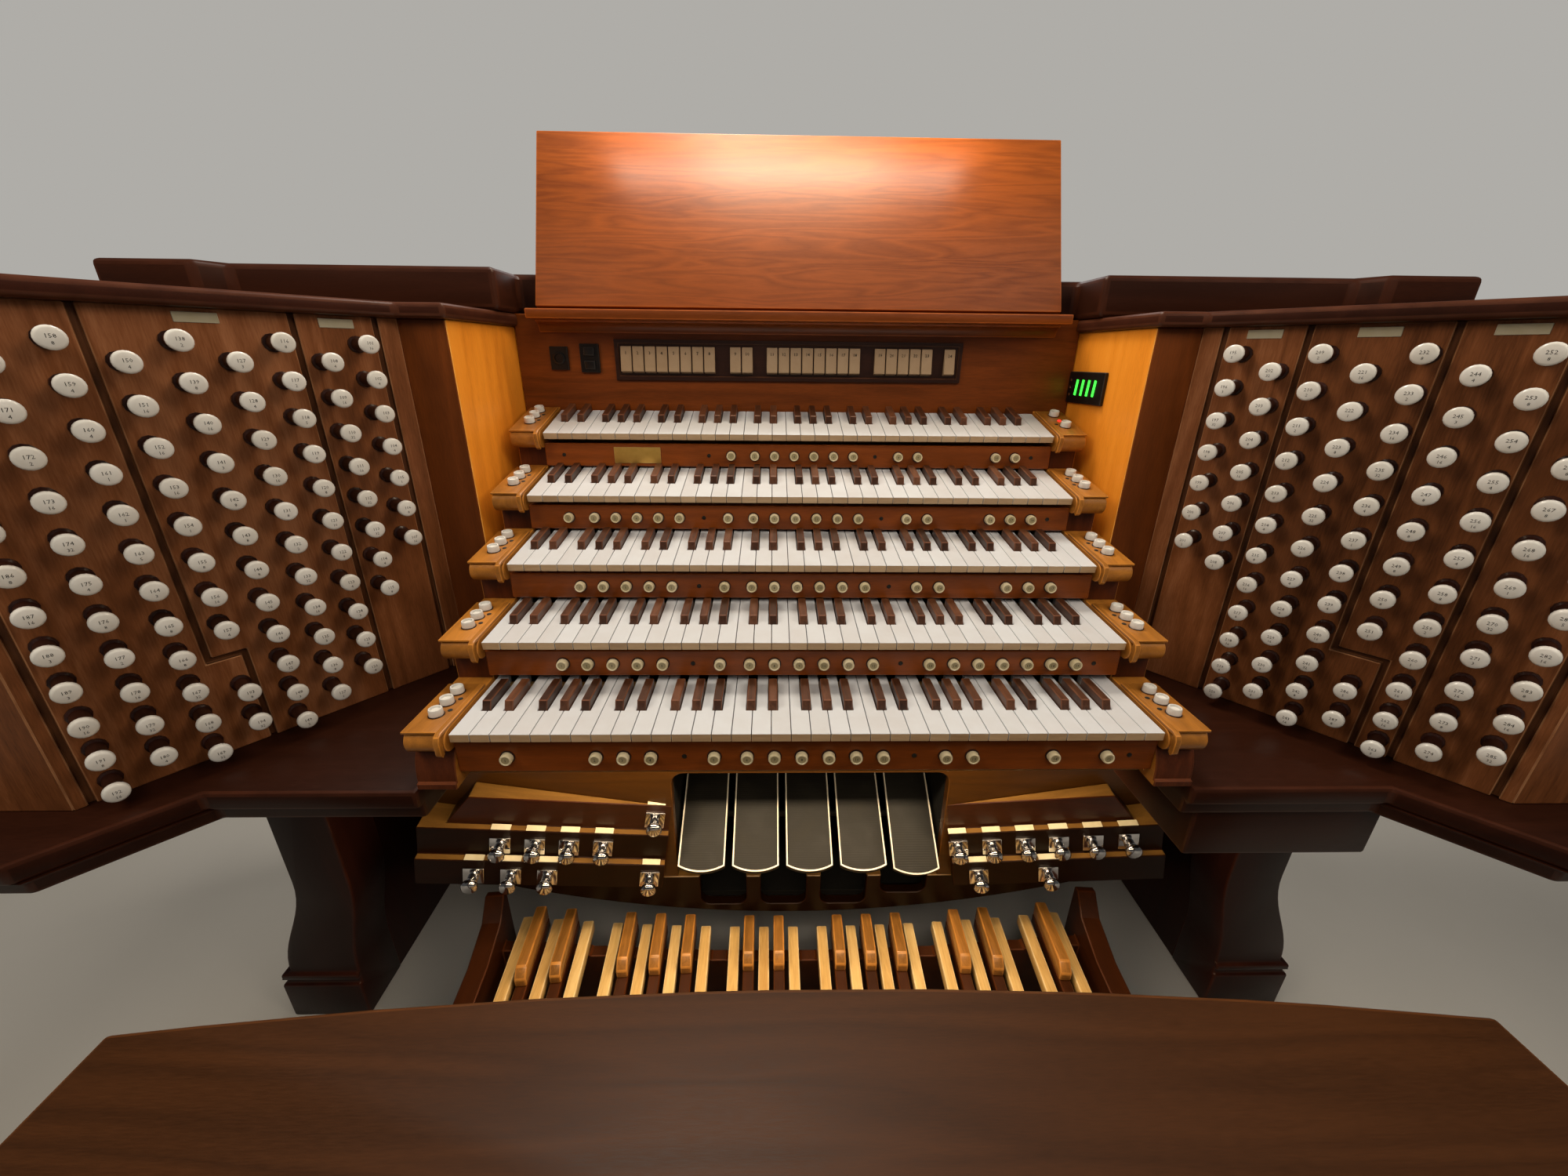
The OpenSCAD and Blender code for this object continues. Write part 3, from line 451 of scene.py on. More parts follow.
# Wood of the natural keys' fronts
KEY_FRONT = Wood("key_front_limewood", "#927555", "#ad906d", "#c2a683", "#d1bb9c", Grain.X, figure_mm=20,
                 lines=3)
# Acrylic of the natural keys: white with a cool gloss
KEY_TOP = Moulded("key_acrylic", "#c8ccd0", "#bebebf", "#d0d4da", roughness=0.22, tone_spread=0.3,
                  mottle_mm=30)
# Turned white resin of the drawknobs and small knobs
RESIN = Moulded("turned_white_resin", "#dbdad5", "#ccc9c1", "#e2e1dd", roughness=0.2, coat=0.3)
# Ivory-coloured resin of the rocker tabs, darkened with the painted shade of the nameboard's recess
SHADED_TAB = Moulded("ivory_tab_painted_shade", "#9c8468", "#92795c", "#a58d72", roughness=0.35)
# Yellowed cream resin of the pistons
CREAM = Moulded("cream_piston_resin", "#ddd0ae", "#c7b890", "#eee4c8", roughness=0.28)
# The same resin, darker, in the hollow of each piston's cap
CREAM_SHADE = Moulded("piston_hollow", "#a79a78", "#8f835f", "#b9ad8a", roughness=0.35)
# Engraving filled with black, and blackened screws
INK = Moulded("engraving_black", "#15130f", "#24211b", "#35312a", roughness=0.6)
# Cream engraved plastic of the label plates
LABEL = Moulded("engraved_label_plastic", "#e6dcbf", "#d6caa6", "#f0e8d0", roughness=0.35)
# The same plastic, darkened as painted shade, on the plates of the stop jambs
SHADED_LABEL = Moulded("label_plastic_painted_shade", "#b5ad97", "#aaa083", "#c4bca8", roughness=0.4)
# Matt black plastic of the switches and the display
BLACK = Moulded("matt_black_plastic", "#0c0b0b", "#181615", "#3a3633", roughness=0.45)
# Dark stained frame of the tab tray
TRAY = Wood("tray_frame", "#170a06", "#27130c", "#3a2015", "#5a3a28", Grain.X, figure_mm=30, lines=3)
# Black paint inside the shoe recess, which gives back no light
RECESS = Moulded("black_felt_paint", "#030303", "#060505", "#0e0d0c", roughness=0.85, bump_mm=0.2, ior=1.35)
# Polished chrome of the toe studs
CHROME = Moulded("polished_chrome", "#d9d9dc", "#bfbfc4", "#ececf0", roughness=0.12, rough_spread=0.05,
                 metallic=1.0)
# White vinyl edging of the shoes, yellowed a little, with a satin gloss
EDGING = Moulded("white_vinyl_edging", "#efe9da", "#dfd7c4", "#faf6ea")
# Lacquered brass of the plain plate
BRASS = Moulded("lacquered_brass", "#e3b45c", "#cf9f49", "#efcd8c", roughness=0.42, metallic=0.7)
# Black ribbed rubber of the shoes, greyed by soles
SHOE = RibbedRubber("ribbed_shoe_rubber", "#14120e", "#302d24")
# Lit green bars of the level display
GREEN_LIGHT = Moulded("green_level_light", "#37e03c", "#2cc931", "#7cf07f", glow=2.2)
# Lit red dome of the pilot light
RED_LIGHT = Moulded("red_pilot_light", "#e8231c", "#d01c16", "#f26058", glow=2.5)
# Pale matt floor of the studio
FLOOR = Moulded("pale_floor", "#ded9cf", "#d5d0c5", "#e2ddd4", roughness=0.7, mottle_mm=400, bump_mm=0.05)


# Shapes


class Packed:
    """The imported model's nodes, which every shape may copy."""

    nodes: dict[str, bpy.types.Object] = {}


class Shape:
    """A mesh being built in metres, whose faces carry a tone and a share of wear."""

    # Points nearer than this are one, in metres, in turned forms and in the CAD nodes' meshes
    near_turned: float = 1e-6
    near_node: float = 2e-6
    # Faces that turn by less than this many degrees are joined
    flat_angle: float = 1.0

    def __init__(self) -> None:
        """Starts with nothing."""
        self.bm = bmesh.new()

    @classmethod
    def box(cls, low: Point3, high: Point3, bevel: float, segments: int = 1) -> Shape:
        """Makes a box between two corners with its edges eased.

        Args:
            low: the lowest corner, in millimetres.
            high: the highest corner, in millimetres.
            bevel: the width of the eased edges, in millimetres.
            segments: how many steps an eased edge has.

        Returns:
            The shape.
        """
        shape = cls()
        size = [h - l for l, h in zip(low, high)]
        middle = [(h + l) / 2 for l, h in zip(low, high)]
        bmesh.ops.create_cube(shape.bm, size=MM)
        shape.bm.transform(step(*middle) @ Matrix.Diagonal((*size, 1.0)))
        return shape.soften(bevel, segments)

    @classmethod
    def turned(cls, profile: Sequence[Point2], steps: int) -> Shape:
        """Turns a profile about Z and closes both ends.

        Args:
            profile: radius and height of each point, in millimetres, from the bottom up.
            steps: how many sides the turned form has.

        Returns:
            The shape.
        """
        shape = cls()
        verts = [shape.bm.verts.new((r * MM, 0, h * MM)) for r, h in profile]
        edges = [shape.bm.edges.new(pair) for pair in zip(verts, verts[1:])]
        bmesh.ops.spin(shape.bm, geom=verts + edges, cent=(0, 0, 0), axis=(0, 0, 1), angle=2 * math.pi,
                       steps=steps, use_merge=True)
        bmesh.ops.remove_doubles(shape.bm, verts=shape.bm.verts, dist=cls.near_turned)
        rims = [e for e in shape.bm.edges if e.is_boundary]
        bmesh.ops.holes_fill(shape.bm, edges=rims, sides=steps)
        bmesh.ops.recalc_face_normals(shape.bm, faces=shape.bm.faces)
        return shape

    @classmethod
    def flat(cls, outline: Sequence[Point2]) -> Shape:
        """Makes one flat face at Z = 0.

        Args:
            outline: its corners, in millimetres.

        Returns:
            The shape.
        """
        shape = cls()
        shape.bm.faces.new([shape.bm.verts.new((x * MM, y * MM, 0)) for x, y in outline]).normal_update()
        return shape

    @classmethod
    def of_node(cls, node: str, width: float, segments: int = 1, angle: float = EASED_ANGLE) -> Shape:
        """Copies a CAD node's mesh, merges it and eases its sharp edges.

        Args:
            node: the CAD node's name.
            width: the width of the eased edges, in millimetres.
            segments: how many steps an eased edge has.
            angle: the least angle of an edge that is eased, in degrees.

        Returns:
            The shape.
        """
        shape = cls()
        shape.bm.from_mesh(Packed.nodes[node].data)
        bmesh.ops.remove_doubles(shape.bm, verts=shape.bm.verts, dist=cls.near_node)
        bmesh.ops.dissolve_limit(shape.bm, angle_limit=math.radians(cls.flat_angle), verts=shape.bm.verts,
                                 edges=shape.bm.edges)
        return shape.soften(width, segments, angle)

    def layer(self, name: str) -> bmesh.types.BMLayerItem:
        """Gives one of the values that the faces carry, and adds it where it is new."""
        layers = self.bm.faces.layers.float
        return layers.get(name) or layers.new(name)

    def raised(self, height: float) -> Shape:
        """Extrudes all the flat faces upwards.

        Args:
            height: how far, in millimetres.

        Returns:
            This shape.
        """
        grown = bmesh.ops.extrude_face_region(self.bm, geom=list(self.bm.faces))
        tops = [g for g in grown["geom"] if isinstance(g, bmesh.types.BMVert)]
        bmesh.ops.translate(self.bm, verts=tops, vec=(0, 0, height * MM))
        bmesh.ops.recalc_face_normals(self.bm, faces=self.bm.faces)
        return self

    def soften(self, width: float, segments: int = 1, angle: float = EASED_ANGLE) -> Shape:
        """Eases the sharp edges and marks the eased faces as worn.

        Args:
            width: the width of the eased edges, in millimetres.
            segments: how many steps an eased edge has.
            angle: the least angle of an edge that is eased, in degrees.

        Returns:
            This shape.
        """
        worn = self.layer("worn")
        least = math.radians(angle)
        sharp = [e for e in self.bm.edges if len(e.link_faces) == 2 and e.calc_face_angle(0.0) > least]
        made = bmesh.ops.bevel(self.bm, geom=sharp, offset=width * MM, offset_type="OFFSET",
                               segments=segments, profile=0.5, affect="EDGES", clamp_overlap=False,
                               material=-1)
        for face in made["faces"]:
            face[worn] = 1.0
        return self

    def tinted(self, seed: int) -> Shape:
        """Gives every separate solid of this shape its own tone.

        Args:
            seed: the seed of the tones.

        Returns:
            This shape.
        """
        rng = random.Random(seed)
        tone = self.layer("tone")
        seen: set[bmesh.types.BMFace] = set()
        for first in self.bm.faces:
            if first in seen:
                continue
            value = rng.random()
            seen.add(first)
            stack = [first]
            while stack:
                face = stack.pop()
                face[tone] = value
                new = {other for edge in face.edges for other in edge.link_faces} - seen
                seen |= new
                stack.extend(new)
        return self

    def moved(self, place: Matrix) -> Shape:
        """Moves this shape, and gives it back."""
        self.bm.transform(place)
        return self

    def painted(self, number: int, test: FaceTest) -> Shape:
        """Gives the faces that pass a test another of the piece's finishes.

        Args:
            number: the finish's place among the piece's finishes.
            test: tells whether a face takes it.

        Returns:
            This shape.
        """
        for face in filter(test, self.bm.faces):
            face.material_index = number
        return self

    def mesh(self) -> bpy.types.Mesh:
        """Turns this shape into a mesh and lets go of it.

        Returns:
            The mesh.
        """
        made = bpy.data.meshes.new("form")
        self.bm.to_mesh(made)
        self.bm.free()
        return made

    def at_places(self, places: Iterable[Matrix], seed: int = 1) -> Shape:
        """Repeats this shape at many places, each with its own tone from a seed."""
        return Shape.gathered([(self.mesh(), list(places))], seed)

    @classmethod
    def gathered(cls, parts: Iterable[tuple[bpy.types.Mesh, Sequence[Matrix]]], seed: int = 1) -> Shape:
        """Gathers several meshes, each at its places, in one shape.

        Args:
            parts: each mesh with its places; the meshes are removed.
            seed: the seed of the tones.

        Returns:
            The new shape.
        """
        rng = random.Random(seed)
        shape = cls()
        for name in ("tone", "worn"):
            shape.layer(name)
        for mesh, places in parts:
            for place in places:
                copy = mesh.copy()
                copy.transform(place)
                if place.determinant() < 0:
                    copy.flip_normals()
                start = len(shape.bm.faces)
                shape.bm.from_mesh(copy)
                bpy.data.meshes.remove(copy)
                shape.bm.faces.ensure_lookup_table()
                tone = shape.layer("tone")
                value = rng.random()
                for face in shape.bm.faces[start:]:
                    face[tone] = value
            bpy.data.meshes.remove(mesh)
        return shape

    def piece(self, name: str, slot: str, finishes: Sequence[Finish], replaces: Sequence[str] = (),
              smooth: float = 28.0, body: str = "console") -> None:
        """Makes the finished piece and fixes it to its body.

        Args:
            name: the piece's name.
            slot: the record's material slot; not used.
            finishes: the finishes, in the order of the painted numbers.
            replaces: the CAD nodes that it stands for.
            smooth: edges of fewer degrees than this are shaded round.
            body: the body that it rides on.
        """
        limit = math.radians(smooth)
        for face in self.bm.faces:
            face.smooth = True
        for edge in self.bm.edges:
            edge.smooth = len(edge.link_faces) == 2 and edge.calc_face_angle(0.0) < limit
        mesh = self.mesh()
        mesh.name = name
        for finish in finishes:
            mesh.materials.append(finish.material())
        made = bpy.data.objects.new(name, mesh)
        bpy.context.scene.collection.objects.link(made)
        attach(made, body)
        if replaces:
            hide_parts(*replaces)
        log.info("%s: %d faces on %s", name, len(mesh.polygons), body)


def dress(node: str, slot: str, finishes: Sequence[Finish], width: float, segments: int = 1,
          angle: float = EASED_ANGLE, seed: int | None = None, name: str = "", body: str = "console",
          paint: Mapping[int, FaceTest] | None = None) -> None:
    """Dresses a CAD node that keeps its shape.

    Args:
        node: the CAD node's name.
        slot: the record's material slot.
        finishes: the finishes, in the order of the painted numbers.
        width: the width of the eased edges, in millimetres.
        segments: how many steps an eased edge has.
        angle: the least angle of an edge that is eased, in degrees.
        seed: the seed of the tones, where each solid has its own.
        name: the piece's name, where it isn't taken from the node's.
        body: the body that it rides on.
        paint: for each further finish, the test of the faces that take it.
    """
    shape = Shape.of_node(node, width, segments, angle)
    if seed is not None:
        shape.tinted(seed)
    for number, test in (paint or {}).items():
        shape.painted(number, test)
    shape.piece(name or node + "_dressed", slot, finishes, [node], body=body)


def numeral(text: str, height: float) -> bpy.types.Mesh:
    """Makes a thin raised number that lies flat, facing up.

    Args:
        text: the digits.
        height: the size of the type, in millimetres.

    Returns:
        The mesh.
    """
    curve = bpy.data.curves.new("numeral", "FONT")
    curve.body = text
    curve.size = height * MM
    curve.align_x = "CENTER"
    curve.align_y = "CENTER"
    curve.resolution_u = 1
    curve.extrude = 0.04 * MM
    holder = bpy.data.objects.new("numeral", curve)
    bpy.context.scene.collection.objects.link(holder)
    bpy.context.view_layer.update()
    mesh = bpy.data.meshes.new_from_object(holder)
    bpy.data.objects.remove(holder)
    bpy.data.curves.remove(curve)
    return mesh


# The console's sub-assemblies


@dataclass
class Layout:
    """Sizes that several sub-assemblies share."""

    manuals: int = 5
    key_z: float = 870.0
    rise: float = 65.5
    rise_growth: float = 5.5
    setback: float = 108.0
    setback_loss: float = 3.0
    tilt_step: float = 3.75
    octave_w: float = 165.0
    octave_naturals: int = 7
    naturals: int = 36
    block_gap: float = 4.0
    block_w: float = 48.0
    wall_gap: float = 14.0
    wall_splay: float = 14.0
    pilaster_y: float = 326.0
    table_z: float = 790.0
    nameboard_y: float = 527.0
    knee_y: float = 345.0
    shoe_x: float = 30.0

    def man_y(self, i: int) -> float:
        """Gives a manual's key fronts behind the lowest manual's."""
        return i * self.setback - self.setback_loss * i * (i - 1) / 2

    def man_z(self, i: int) -> float:
        """Gives the height of a manual's natural tops at their fronts."""
        return self.key_z + i * self.rise + self.rise_growth * i * (i - 1) / 2

    def key_plane(self, i: int) -> Matrix:
        """Gives the place of a manual's key plane."""
        return moved(0, self.man_y(i), self.man_z(i)) @ turn(self.tilt_step * i, "X")

    @property
    def block_inner(self) -> float:
        """Gives the distance from the middle to a key block's inner side."""
        return self.naturals * self.octave_w / (2 * self.octave_naturals) + self.block_gap

    @property
    def wall_x(self) -> float:
        """Gives the distance from the middle to a side wall's front edge."""
        return self.block_inner + self.block_w + self.wall_gap + self.wall_splay


@dataclass
class CaseWork:
    """Key table, legs, panels, tops, jambs and walls of the case.

    Each form has its node, slot, finish, width of eased edges and steps across them.
    """

    layout: Layout
    forms: tuple[tuple[str, str, Finish, float, int], ...] = (
        ("key_table", "dark_mahogany", DARK_X, 5.0, 2),
        ("legs", "dark_mahogany", DARK_Z, 4.0, 2),
        ("side_panels", "dark_mahogany", DARK_Z, 1.5, 1),
        ("case_back", "dark_mahogany", DARK_Z, 1.5, 1),
        ("upper_sides", "jamb_veneer", JAMB, 1.5, 1),
        # The case tops take the lighter mahogany: painted light on the tops
        ("case_tops", "dark_mahogany", LIT_TOPS, 6.0, 3),
        ("crown", "dark_mahogany", DARK_X, 9.0, 3),
        ("jambs", "jamb_veneer", JAMB, 1.2, 1),
        ("pilasters", "dark_mahogany", PILASTER, 2.0, 1),
        ("side_walls", "cherry", WALL, 1.5, 1),
        ("apron_box", "dark_mahogany", DARK_X, 4.0, 2))
    groove_depths: Point2 = (1.0, 10.0)
    seed: int = 3

    def groove_test(self) -> FaceTest:
        """Gives the test of the faces that lie inside the jambs' grooves.

        Returns:
            The test.
        """
        jambs = StopJambs(self.layout)
        left, right = (jambs.jamb(side).inverted() for side in Side)
        least, most = self.groove_depths

        def in_groove(face: bmesh.types.BMFace) -> bool:
            """Tells whether a face lies inside a groove."""
            middle = face.calc_center_median()
            return least < ((right if middle.x > 0 else left) @ middle).y / MM < most

        return in_groove

    def build(self) -> None:
        """Eases each CAD form's edges and gives it its wood, with painted shade in the jambs' grooves."""
        for node, slot, finish, width, segments in self.forms:
            # Painted shade: the faces inside the jambs' grooves take the darker finish
            paint = {1: self.groove_test()} if node == "jambs" else {}
            dress(node, slot, [finish, GROOVE_SHADE] if paint else [finish], width, segments, seed=self.seed,
                  paint=paint)


@dataclass
class StopJambs:
    """The two angled jambs' drawknobs and their label plates."""

    layout: Layout
    pilaster_w: float = 67.0
    strip_w: float = 28.0
    angle: float = 52.5
    top_z: float = 1294.0
    dx: float = 45.2
    dz: float = 43.6
    inset: float = 28.0
    reach: float = 45.0
    left_counts: tuple[int, ...] = (7, 8, 11, 11, 12, 8, 12, 11, 12)
    right_counts: tuple[int, ...] = (7, 7, 12, 11, 12, 8, 12, 11, 11)
    lone_column: int = 5
    lone_rows: tuple[int, ...] = (9, 10)
    pitches: tuple[str, ...] = ("8", "8", "16", "4", "8", "2", "4", "16", "32", "5", "1", "3")
    first_number: int = 101
    number_h: float = 5.6
    number_up: float = 1.4
    pitch_h: float = 4.8
    pitch_down: float = 4.9
    ink_gap: float = 0.03
    left_labels: tuple[float, ...] = (46.0, 182.0, 345.0)
    right_labels: tuple[float, ...] = (46.0, 160.0, 272.0)
    label_z: float = 529.0

    def jamb(self, side: Side) -> Matrix:
        """Gives a jamb's plane: X along it from its inner edge, -Y out of it, Z up from the table.

        Args:
            side: the jamb's side.

        Returns:
            The matrix.
        """
        along = math.radians(self.angle)
        x = self.layout.wall_x + self.pilaster_w + self.strip_w * math.cos(along)
        y = self.layout.pilaster_y - self.strip_w * math.sin(along)
        return on_side(side, moved(x, y, self.layout.table_z) @ turn(-self.angle, "Z"))

    def on_jamb(self, side: Side, x: float, z: float) -> Matrix:
        """Gives a place on a jamb, with Z out of it."""
        return self.jamb(side) @ step(x, 0, z) @ turn(90, "X")

    def knob_places(self, side: Side) -> list[Matrix]:
        """Gives the places of one jamb's drawknobs, with Z out of the jamb.

        Args:
            side: the jamb's side.

        Returns:
            One matrix for each drawknob.
        """
        counts = self.left_counts if side is Side.LEFT else self.right_counts
        spots = [(c, r) for c, count in enumerate(counts) for r in range(count)]
        spots += [(self.lone_column, r) for r in self.lone_rows]
        height = self.top_z - self.layout.table_z
        return [self.on_jamb(side, self.inset + c * self.dx, height - (r + (c % 2) / 2) * self.dz)
                for c, r in spots]

    def build(self) -> None:
        """Makes the shanks, the faces, their plain numbers and the label plates."""
        places = self.knob_places(Side.LEFT) + self.knob_places(Side.RIGHT)
        tip = self.reach
        shank = Shape.turned([(10.8, 0), (10.8, 3), (8.4, 5), (8.4, tip - 16), (10.6, tip - 11),
                              (10.6, tip - 6.5)], 12)
        shank.at_places(places, 11).piece("drawknob_shanks", "rosewood", [SHANK], ["drawknobs"], 40)
        face = Shape.turned([(11.5, tip - 6.6), (11.5, tip - 2.4), (10.6, tip - 0.9), (8.6, tip)], 20)
        face.at_places(places, 12).piece("drawknob_faces", "knob_white", [RESIN], smooth=35)
        self.number_faces()
        for side, spots in zip(Side, (self.left_labels, self.right_labels)):
            # The jamb plates take the label plastic darkened as painted shade
            plate = Shape.box((-19.5, -5.5, -0.5), (19.5, 5.5, 1.2), 0.4)
            plates = plate.at_places([self.on_jamb(side, x, self.label_z) for x in spots], 13)
            plates.piece("jamb_labels_" + side.name.lower(), "knob_white", [SHADED_LABEL])

    def number_faces(self) -> None:
        """Puts plain numbers on each drawknob's face: its own in the middle and its pitch below."""
        rng = random.Random(21)
        out = self.reach + self.ink_gap
        pitches: dict[str, list[Matrix]] = {}
        parts = []
        for side in Side:
            for place in self.knob_places(side):
                upright = place @ MIRROR if side is Side.LEFT else place
                found = pitches.setdefault(rng.choice(self.pitches), [])
                found.append(upright @ step(0, -self.pitch_down, out))
                number = numeral(str(self.first_number + len(parts)), self.number_h)
                parts.append((number, [upright @ step(0, self.number_up, out)]))
        parts += [(numeral(text, self.pitch_h), spots) for text, spots in sorted(pitches.items())]
        Shape.gathered(parts).piece("drawknob_numbers", "black_trim", [INK])


@dataclass
class Manuals:
    """Keys, key blocks, rails, pistons and small knobs of the five manuals."""

    layout: Layout
    rail_setback: float = 12.0
    rail_drop: float = 18.0
    rail_h: float = 38.0
    low_more: float = 7.0
    lip_drop: float = 27.0
    # A face to the front of more than this area lies below a nose, in square metres
    nose_area: float = 5e-4
    pitch: float = 33.3
    middle: tuple[float, ...] = (-3.5, -2.3, -1.3, -0.3, 0.7, 1.7, 2.7)
    left: tuple[float, ...] = (-9.8, -8.8, -7.8, -6.8, -5.8)
    piston_number_h: float = 5.5
    piston_number_out: float = 8.18
    screws: tuple[tuple[float, ...], ...] = ((-153, 128.5, 396), (-153, 128, 393), (-154, 126),
                                             (-155, 127, 394), (-397, -154, 127.6, 395))
    plate_manual: int = 4
    plate_x: float = -274.0
    knob_share: float = 0.54
    knob_y: float = 34.0
    knob_pitch: float = 26.0
    knobs: int = 3
    block_screw: Point2 = (14.5, 44.0)
    board_h: float = 4.6

    def build(self) -> None:
        """Makes all parts of the manuals."""
        lip = (self.layout.man_z(0) - self.lip_drop) * MM
        fronts = {1: lambda f: (f.normal.y < -0.5 and f.normal.z < 0.45) or f.normal.z < -0.5}
        # Painted shade: the foot under the lowest nose and the large front faces below the noses take the
        # darkened cherry
        block_shade = {1: lambda f: (f.calc_center_median().z < lip
                              or (f.normal.y < -0.99 and f.calc_area() > self.nose_area))}
        dress("naturals", "key_white", [KEY_TOP, KEY_FRONT], 0.5, seed=31, name="natural_keys",
              paint=fronts)
        dress("sharps", "rosewood", [ROSEWOOD], 1.1, seed=32, name="sharp_keys")
        dress("key_beds", "maple", [TREAD], 0.8, seed=33)
        dress("piston_rails", "brown_veneer", [RAIL], 1.5, seed=34)
        dress("key_blocks", "cherry", [BLOCK, SHADED_BLOCK], 1.2, angle=40, seed=35, paint=block_shade)
        self.build_pistons()
        self.build_rail_trim()
        self.build_block_trim()

    def rail_middle(self, i: int) -> float:
        """Gives the height of the middle of a manual's piston rail."""
        height = self.rail_h + (self.low_more if i == 0 else 0)
        return self.layout.man_z(i) - self.rail_drop - height / 2

    def piston_rows(self) -> list[list[float]]:
        """Gives the pistons of each manual, in steps of the pitch.

        Returns:
            One row for each manual.
        """
        pair = (5, 6)
        return [[-11, -7.8, -6.8, -5.8, *self.middle, *pair, 9, 11],
                [*self.left, *self.middle, *pair, 7, 8, 9, 10, 11],
                [*self.left, *self.middle, *pair, 9, 10, 11],
                [-11, *self.left, *self.middle, *pair, 9, 10, 11],
                [*self.middle, *pair, 10, 11]]

    def on_rail(self, i: int, x: float, out: float = 0.0) -> Matrix:
        """Gives a place on a piston rail's front, with Z towards the player."""
        return moved(x, self.layout.man_y(i) + self.rail_setback - out, self.rail_middle(i)) @ turn(90, "X")

    def build_pistons(self) -> None:
        """Makes the pistons with hollowed caps and plain numbers."""
        rows = self.piston_rows()
        places = [self.on_rail(i, k * self.pitch) for i, row in enumerate(rows) for k in row]
        piston = Shape.turned([(7.5, -2), (7.5, 7.6), (6.7, 8.8), (5.6, 8.8), (5.0, 8.1)], 16)
        piston.painted(1, lambda f: f.normal.z > 0.9 and len(f.verts) > 4 and f.calc_center_median().z > 0)
        piston.at_places(places, 41).piece("thumb_pistons_turned", "knob_white", [CREAM, CREAM_SHADE],
                                           ["thumb_pistons"], 40)
        sleeve = Shape.turned([(9.0, -1), (9.0, 0.8), (8.4, 1.2)], 16)
        sleeve.at_places(places, 42).piece("piston_sleeves", "rosewood", [SHANK], smooth=40)
        spots: dict[str, list[Matrix]] = {}
        for i, row in enumerate(rows):
            for k, x in enumerate(row, 1):
                spots.setdefault(str(k), []).append(self.on_rail(i, x * self.pitch, self.piston_number_out))
        parts = [(numeral(text, self.piston_number_h), found) for text, found in sorted(spots.items())]
        Shape.gathered(parts).piece("piston_numbers", "black_trim", [INK])

    def build_rail_trim(self) -> None:
        """Makes the dark screws of the rails and the plain brass plate."""
        places = [self.on_rail(i, x) for i, row in enumerate(self.screws) for x in row]
        screw = Shape.turned([(3.2, -1), (3.2, 0.5), (2.2, 1.0)], 10)
        screw.at_places(places, 43).piece("rail_screws", "black_trim", [INK], smooth=40)
        plate = Shape.box((-39, -13.2, -0.5), (39, 13.2, 1.2), 0.6, 2)
        plate.moved(self.on_rail(self.plate_manual, self.plate_x))
        plate.piece("plain_plate", "stud_chrome", [BRASS])

    def build_block_trim(self) -> None:
        """Makes the knobs, screw heads, top boards and hooked rims of the key blocks."""
        inner = self.layout.block_inner
        knob_x = inner + self.layout.block_w * self.knob_share
        screw_x, screw_y = self.block_screw
        light_at = (self.layout.manuals - 1, Side.RIGHT, 1)
        knobs, screws, rims, boards = [], [], [], []
        for side in (Side.RIGHT, Side.LEFT):
            for i in range(self.layout.manuals):
                plane = on_side(side, self.layout.key_plane(i))
                for k in range(self.knobs):
                    if (i, side, k) == light_at:
                        continue
                    y = k * self.knob_pitch
                    knobs.append(plane @ step(knob_x, self.knob_y + y, self.board_h))
                    if k < self.knobs - 1:
                        screws.append(plane @ step(inner + screw_x, screw_y + y, self.board_h))
                boards.append(plane @ step(inner, 0, 0))
                rims.append(plane @ step(inner, 0, 2))
        knob = Shape.turned([(8.3, -1), (8.5, 1.2), (8.1, 8.4), (7.6, 9.4), (6.1, 9.4), (5.5, 6.8)], 20)
        knob.at_places(knobs, 44).piece("block_knobs_turned", "knob_white", [RESIN], ["block_knobs"], 40)
        base = Shape.turned([(9.6, -1), (9.6, 0.7), (9.0, 1.2)], 20)
        base.at_places(knobs, 48).piece("block_knob_bases", "rosewood", [SHANK], smooth=40)
        screw = Shape.turned([(3.0, -1), (3.0, 0.5), (2.0, 0.9)], 10)
        screw.at_places(screws, 45).piece("block_screws", "black_trim", [INK], smooth=40)
        board = Shape.box((6.5, -2, 1.6), (self.layout.block_w + 1, 108, self.board_h), 0.8, 2)
        board.at_places(boards, 46).piece("block_top_boards", "cherry", [BLOCK])
        rim = Shape.flat([(-6, -0.5), (107, -0.5), (107, 3.8), (-5, 3.8), (-11, 1.2), (-14, -5), (-13.5, -22),
                          (-10, -27), (-5.5, -24), (-6.5, -16)]).raised(7).soften(0.9, 2)
        rim.moved(turn(90, "Y") @ turn(90, "Z"))
        rim.at_places(rims, 47).piece("block_rims", "cherry", [BLOCK])
        light = Shape.turned([(3.0, -1), (3.0, 1.2), (2.0, 2.2)], 12)
        light.moved(self.layout.key_plane(light_at[0])
                    @ step(knob_x, self.knob_y + self.knob_pitch, self.board_h))
        light.piece("pilot_light", "knob_white", [RED_LIGHT], smooth=40)


